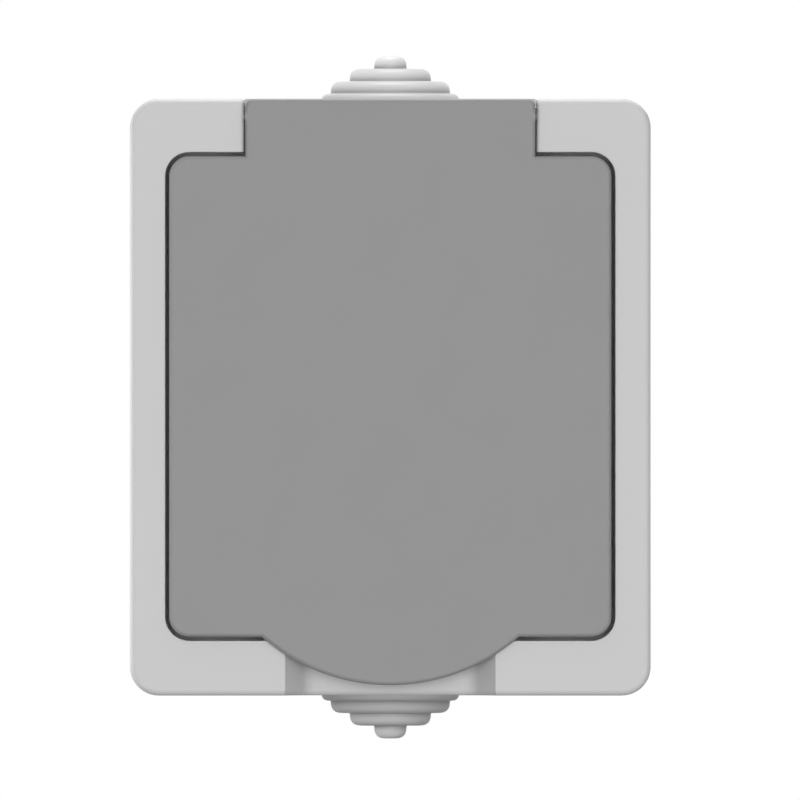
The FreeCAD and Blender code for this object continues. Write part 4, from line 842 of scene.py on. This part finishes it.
class SOCKET_OT_screws(Operator):
    """Make the cover, carrier and centre screws with domed cross heads and real threads"""

    bl_idname = "socket.screws"
    bl_label = "Screws"

    def execute(self, context):
        finish, screws = context.scene.socket_finish, context.scene.socket_screws
        zinc = plain_metal("zinc_steel", finish.screws, roughness=0.40, stretch=(1.0, 1.0, 1.0),
                           streak=0.0009)
        kinds = [
            ("cover_screws", screws.cover_head, screws.cover_head_height, screws.cover_shank,
             screws.plastic_pitch, screws.thread_depth),
            ("carrier_screws", screws.carrier_head, screws.carrier_head_height,
             screws.carrier_shank, screws.plastic_pitch * CARRIER_THREAD,
             screws.thread_depth * CARRIER_THREAD),
            ("centre_screw", screws.centre_head, screws.centre_head_height, screws.carrier_shank,
             screws.machine_pitch, screws.thread_depth * MACHINE_THREAD),
        ]
        for node, head, head_height, shank, pitch, depth in kinds:
            low, high = span(node)
            seat_y = low[1] + head_height
            rows = screw_rows(screws, head, head_height, shank, high[1] - seat_y, pitch, depth)
            corners = four_corners(low, high, head)
            places = {(round(x, 6), round(z, 6)) for x, _, z in corners}
            surfaces = [placed_screw(rows, np.array([x, seat_y, z])) for x, z in sorted(places)]
            make_piece(node + "_threaded", surfaces, zinc, [node], "housing")
        return {"FINISHED"}


class SOCKET_OT_hinge_pin(Operator):
    """Turn the hinge pin, with domed ends and a knurl that bites in the cover's ear"""

    bl_idname = "socket.hinge_pin"
    bl_label = "Hinge pin"

    def execute(self, context):
        finish, hinge = context.scene.socket_finish, context.scene.socket_hinge
        steel = plain_metal("pin_steel", finish.pin, roughness=0.42, stretch=(0.1, 1.0, 1.0),
                            streak=0.0005)
        low, high = span("hinge_pin")
        middle = (low + high) / 2
        radius, half = (high[2] - low[2]) / 2, (high[0] - low[0]) / 2
        angle = full_circle(PIN_SIDES)[None]
        end = np.linspace(0.0, FULL_TURN / 4, 7)
        dome = hinge.pin_dome
        run = np.concatenate([-half + dome * (1 - np.cos(end)),
                              np.linspace(-half + dome, half - dome, PIN_ROWS)[1:-1],
                              half - dome * (1 - np.sin(end))])
        girth = np.concatenate([radius * np.sin(end), np.full(PIN_ROWS - 2, radius),
                                radius * np.cos(end)])
        band = smooth((run - (half - hinge.knurl_length - dome)) / KNURL_EASE)
        band = (band * smooth((half - dome - run) / KNURL_EASE))[:, None]
        bite = hinge.knurl_depth * band * (0.5 + 0.5 * np.cos(angle * hinge.knurl_teeth))
        radii = girth[:, None] - bite
        round_pin = radii[..., None] * spokes(angle, ALONG_Y, ALONG_Z)
        points = middle + ALONG_X * run[:, None, None] + round_pin
        make_piece("hinge_pin_turned", [grid(points)], steel, ["hinge_pin"],
                   "housing")
        return {"FINISHED"}


class SOCKET_OT_lid_spring(Operator):
    """Wind the lid's torsion spring round the pin, with its wire ends bent into neck and ear"""

    bl_idname = "socket.lid_spring"
    bl_label = "Lid spring"

    def execute(self, context):
        finish, springs = context.scene.socket_finish, context.scene.socket_springs
        steel = plain_metal("lid_spring_steel", finish.steel, roughness=0.26,
                            stretch=(1.0, 1.0, 1.0), streak=0.0004)
        low, high = span("lid_spring")
        middle = (low + high) / 2
        thick = springs.wire_radius
        radius = (high[2] - low[2]) / 2 - thick

        # the wire's slope against the axis: 0 along the ends, steep in the coil, eased between
        coil = (high[0] - low[0]) - springs.neck_tang - springs.ear_tang
        steep = math.atan2(FULL_TURN * radius * springs.lid_turns, coil)
        around = coil / math.cos(steep)
        total = springs.neck_tang + around + springs.ear_tang
        run = np.linspace(0.0, total, LID_SPRING_ROWS)
        rise = smooth((run - springs.neck_tang) / springs.bend + 0.5)
        fall = smooth((total - springs.ear_tang - run) / springs.bend + 0.5)
        slope = steep * rise * fall
        forward = np.concatenate([[0.0], np.cumsum(np.cos(slope))[:-1]])
        wound = np.concatenate([[0.0], np.cumsum(np.sin(slope))[:-1]])
        x = low[0] + forward / forward[-1] * (high[0] - low[0])
        angle = FULL_TURN / 4 + wound / wound[-1] * FULL_TURN * springs.lid_turns
        radial = spokes(angle, ALONG_Y, ALONG_Z)
        path = middle * (ALONG_Y + ALONG_Z) + ALONG_X * x[:, None] + radius * radial
        surface = grid(wire(path, radial, thick, SPRING_SIDES))
        spring = make_piece("lid_spring_wire", [surface], steel, ["lid_spring"])
        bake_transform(spring)
        return {"FINISHED"}


class SOCKET_OT_shutter_spring(Operator):
    """Wind the shutter's compression spring with closed end turns"""

    bl_idname = "socket.shutter_spring"
    bl_label = "Shutter spring"

    def execute(self, context):
        finish, springs = context.scene.socket_finish, context.scene.socket_springs
        steel = plain_metal("return_spring_steel", finish.steel, roughness=0.26,
                            stretch=(1.0, 1.0, 1.0), streak=0.0004)
        low, high = span("shutter_spring")
        middle = (low + high) / 2
        thick = springs.wire_radius
        radius = (high[0] - low[0]) / 2 - thick
        turn = np.linspace(0.0, springs.shutter_turns, SHUTTER_SPRING_ROWS)

        # pitch: closed for nearly a turn at both ends, open between
        opened = smooth(turn - CLOSED_TURN) * smooth(springs.shutter_turns - turn - CLOSED_TURN)
        room = high[2] - low[2] - 2 * thick
        spare = room - springs.end_pitch * springs.shutter_turns
        climb = np.concatenate([[0.0], np.cumsum(opened[:-1])])
        z = low[2] + thick + springs.end_pitch * turn + spare * climb / climb[-1]
        angle = FULL_TURN * turn
        radial = spokes(angle, ALONG_X, ALONG_Y)
        path = middle * (ALONG_X + ALONG_Y) + ALONG_Z * z[:, None] + radius * radial
        surface = grid(wire(path, radial, thick, SPRING_SIDES))
        spring = make_piece("shutter_spring_wire", [surface], steel,
                            ["shutter_spring"], "housing")
        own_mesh(spring)
        return {"FINISHED"}


def glow(tree, ray, towards, edge, brightness, base):
    """Light of a far soft box on top of a base: base + brightness (ray . towards)^edge, and the
    base alone on the far side."""
    facing = put(tree, "ShaderNodeVectorMath", [(0, ray)], operation="DOT_PRODUCT")
    facing.inputs[1].default_value = towards
    ahead = put(tree, "ShaderNodeMath", [(0, facing.outputs["Value"])], operation="MAXIMUM")
    ahead.inputs[1].default_value = 0.0
    faded = put(tree, "ShaderNodeMath", [(0, ahead.outputs[0])], operation="POWER")
    faded.inputs[1].default_value = edge
    total = put(tree, "ShaderNodeMath", [(0, faded.outputs[0])], operation="MULTIPLY_ADD")
    total.inputs[1].default_value = brightness
    if isinstance(base, float):
        total.inputs[2].default_value = base
    else:
        tree.links.new(base, total.inputs[2])
    return total.outputs[0]


def aim(thing, place, target):
    """Puts a camera or lamp at a place, looking at a target."""
    thing.location = place
    thing.rotation_mode = "QUATERNION"
    thing.rotation_quaternion = (thing.location - Vector(target)).to_track_quat("Z", "Y")


def straight_camera(scene, studio, middle):
    """Camera straight on, level with the object, one pixel as wide as the setting says."""
    data = bpy.data.cameras.new("camera")
    data.lens = studio.lens
    camera = bpy.data.objects.new("camera", data)
    scene.collection.objects.link(camera)
    width = studio.picture_width * studio.pixel
    distance = width * data.lens / data.sensor_width
    aside = (studio.picture_width / 2 - studio.centre_column) * studio.pixel
    aloft = (studio.centre_row - studio.picture_width / 2) * studio.pixel
    camera.location = (middle[0] + aside, CAD_LOW[1] - distance, middle[2] + aloft)
    camera.rotation_euler = (math.radians(90.0), 0.0, 0.0)
    data.clip_end = distance * 2
    scene.camera = camera


def soft_light(scene, studio):
    """Even fill, wide light from above, a soft box each side of the camera and one behind the
    object, and a plain white ground for the camera."""
    world = bpy.data.worlds.new("studio_light")
    world.use_nodes = True
    scene.world = world
    tree = world.node_tree
    tree.nodes.clear()
    ray = put(tree, "ShaderNodeTexCoord").outputs["Generated"]
    turned_aside = math.radians(studio.box_side)
    side, ahead = math.sin(turned_aside), math.cos(turned_aside)
    light = glow(tree, ray, (0.0, 0.0, 1.0), 1.0, studio.sky, studio.fill)
    light = glow(tree, ray, (-side, -ahead, 0.0), studio.box_edge, studio.box_light, light)
    light = glow(tree, ray, (side, -ahead, 0.0), studio.box_edge, studio.box_light, light)
    light = glow(tree, ray, BACK_GLOW, BACK_EDGE, studio.back_light, light)
    soft = put(tree, "ShaderNodeBackground", [("Strength", light)])
    plain = put(tree, "ShaderNodeBackground")
    for background in (soft, plain):
        background.inputs["Color"].default_value = (1.0, 1.0, 1.0, 1.0)
    seen = put(tree, "ShaderNodeLightPath").outputs["Is Camera Ray"]
    both = put(tree, "ShaderNodeMixShader",
               [(0, seen), (1, soft.outputs[0]), (2, plain.outputs[0])])
    put(tree, "ShaderNodeOutputWorld", [("Surface", both.outputs[0])])


def hang_strips(scene, studio, middle):
    """Strip lamps over the object and at its sides, all behind its front and out of the view."""
    rim = np.array([middle[0], CAD_LOW[1], middle[2]])
    for name, away in STRIP_PLACES.items():
        lamp = bpy.data.lights.new(name, "AREA")
        lamp.energy = getattr(studio, name)
        lamp.shape = "RECTANGLE"
        lamp.size, lamp.size_y = STRIP_SIZE
        strip = bpy.data.objects.new(name, lamp)
        strip.visible_camera = False
        scene.collection.objects.link(strip)
        aim(strip, rim + np.array(away), rim)


def lay_floor(scene, studio, middle):
    """A flat square of pale paper under the object, at the height z = middle - drop."""
    across = np.linspace(-0.5, 0.5, 5) * studio.floor_width
    xs, ys = np.meshgrid(across, across, indexing="ij")
    zs = np.full_like(xs, middle[2] - studio.floor_drop)
    points, quads = grid(np.stack([xs, ys, zs], axis=-1), wrap_columns=False)
    mesh = bpy.data.meshes.new("floor")
    mesh.from_pydata(points.tolist(), [], quads.tolist())
    material, tree, shader, place = blank_material("floor_paper")
    cloud = noise(tree, place, PAPER_WIDTH, detail=3.0)
    tone = shades(tree, cloud, studio.floor_colour, change=0.01)
    tree.links.new(tone, shader.inputs["Base Color"])
    shader.inputs["Roughness"].default_value = 0.9
    mesh.materials.append(material)
    floor = bpy.data.objects.new("floor", mesh)
    scene.collection.objects.link(floor)


class SOCKET_OT_studio(Operator):
    """Set up the straight-on camera, the soft light, the strip lamps and the pale floor"""

    bl_idname = "socket.studio"
    bl_label = "Studio"

    def execute(self, context):
        scene, studio = context.scene, context.scene.socket_studio
        scene.view_settings.view_transform = "Standard"
        middle = (np.array(CAD_LOW) + np.array(CAD_HIGH)) / 2
        straight_camera(scene, studio, middle)
        soft_light(scene, studio)
        hang_strips(scene, studio, middle)
        lay_floor(scene, studio, middle)
        return {"FINISHED"}


STEPS = (SOCKET_OT_housing, SOCKET_OT_insert, SOCKET_OT_contacts, SOCKET_OT_cable_entries,
         SOCKET_OT_seals, SOCKET_OT_screws, SOCKET_OT_hinge_pin, SOCKET_OT_lid_spring,
         SOCKET_OT_shutter_spring, SOCKET_OT_studio)


class SOCKET_PT_sidebar(Panel):
    """Lists the steps that finish the socket"""

    bl_idname = "SOCKET_PT_sidebar"
    bl_label = "Outdoor socket"
    bl_space_type = "VIEW_3D"
    bl_region_type = "UI"
    bl_category = "Socket"

    def draw(self, context):
        for step in STEPS:
            self.layout.operator(step.bl_idname)
        for name, group in SETTINGS.items():
            box = self.layout.box()
            box.label(text=group.__doc__)
            for setting in group.__annotations__:
                box.prop(getattr(context.scene, name), setting)


def register():
    for group in SETTINGS.values():
        bpy.utils.register_class(group)
    for name, group in SETTINGS.items():
        setattr(bpy.types.Scene, name, PointerProperty(type=group))
    for step in STEPS:
        bpy.utils.register_class(step)
    bpy.utils.register_class(SOCKET_PT_sidebar)


def unregister():
    bpy.utils.unregister_class(SOCKET_PT_sidebar)
    for step in reversed(STEPS):
        bpy.utils.unregister_class(step)
    for name in SETTINGS:
        delattr(bpy.types.Scene, name)
    for group in SETTINGS.values():
        bpy.utils.unregister_class(group)


def main():
    """Runs every step in order."""
    register()
    bpy.ops.socket.housing()
    bpy.ops.socket.insert()
    bpy.ops.socket.contacts()
    bpy.ops.socket.cable_entries()
    bpy.ops.socket.seals()
    bpy.ops.socket.screws()
    bpy.ops.socket.hinge_pin()
    bpy.ops.socket.lid_spring()
    bpy.ops.socket.shutter_spring()
    bpy.ops.socket.studio()


if __name__ == "__main__":
    main()
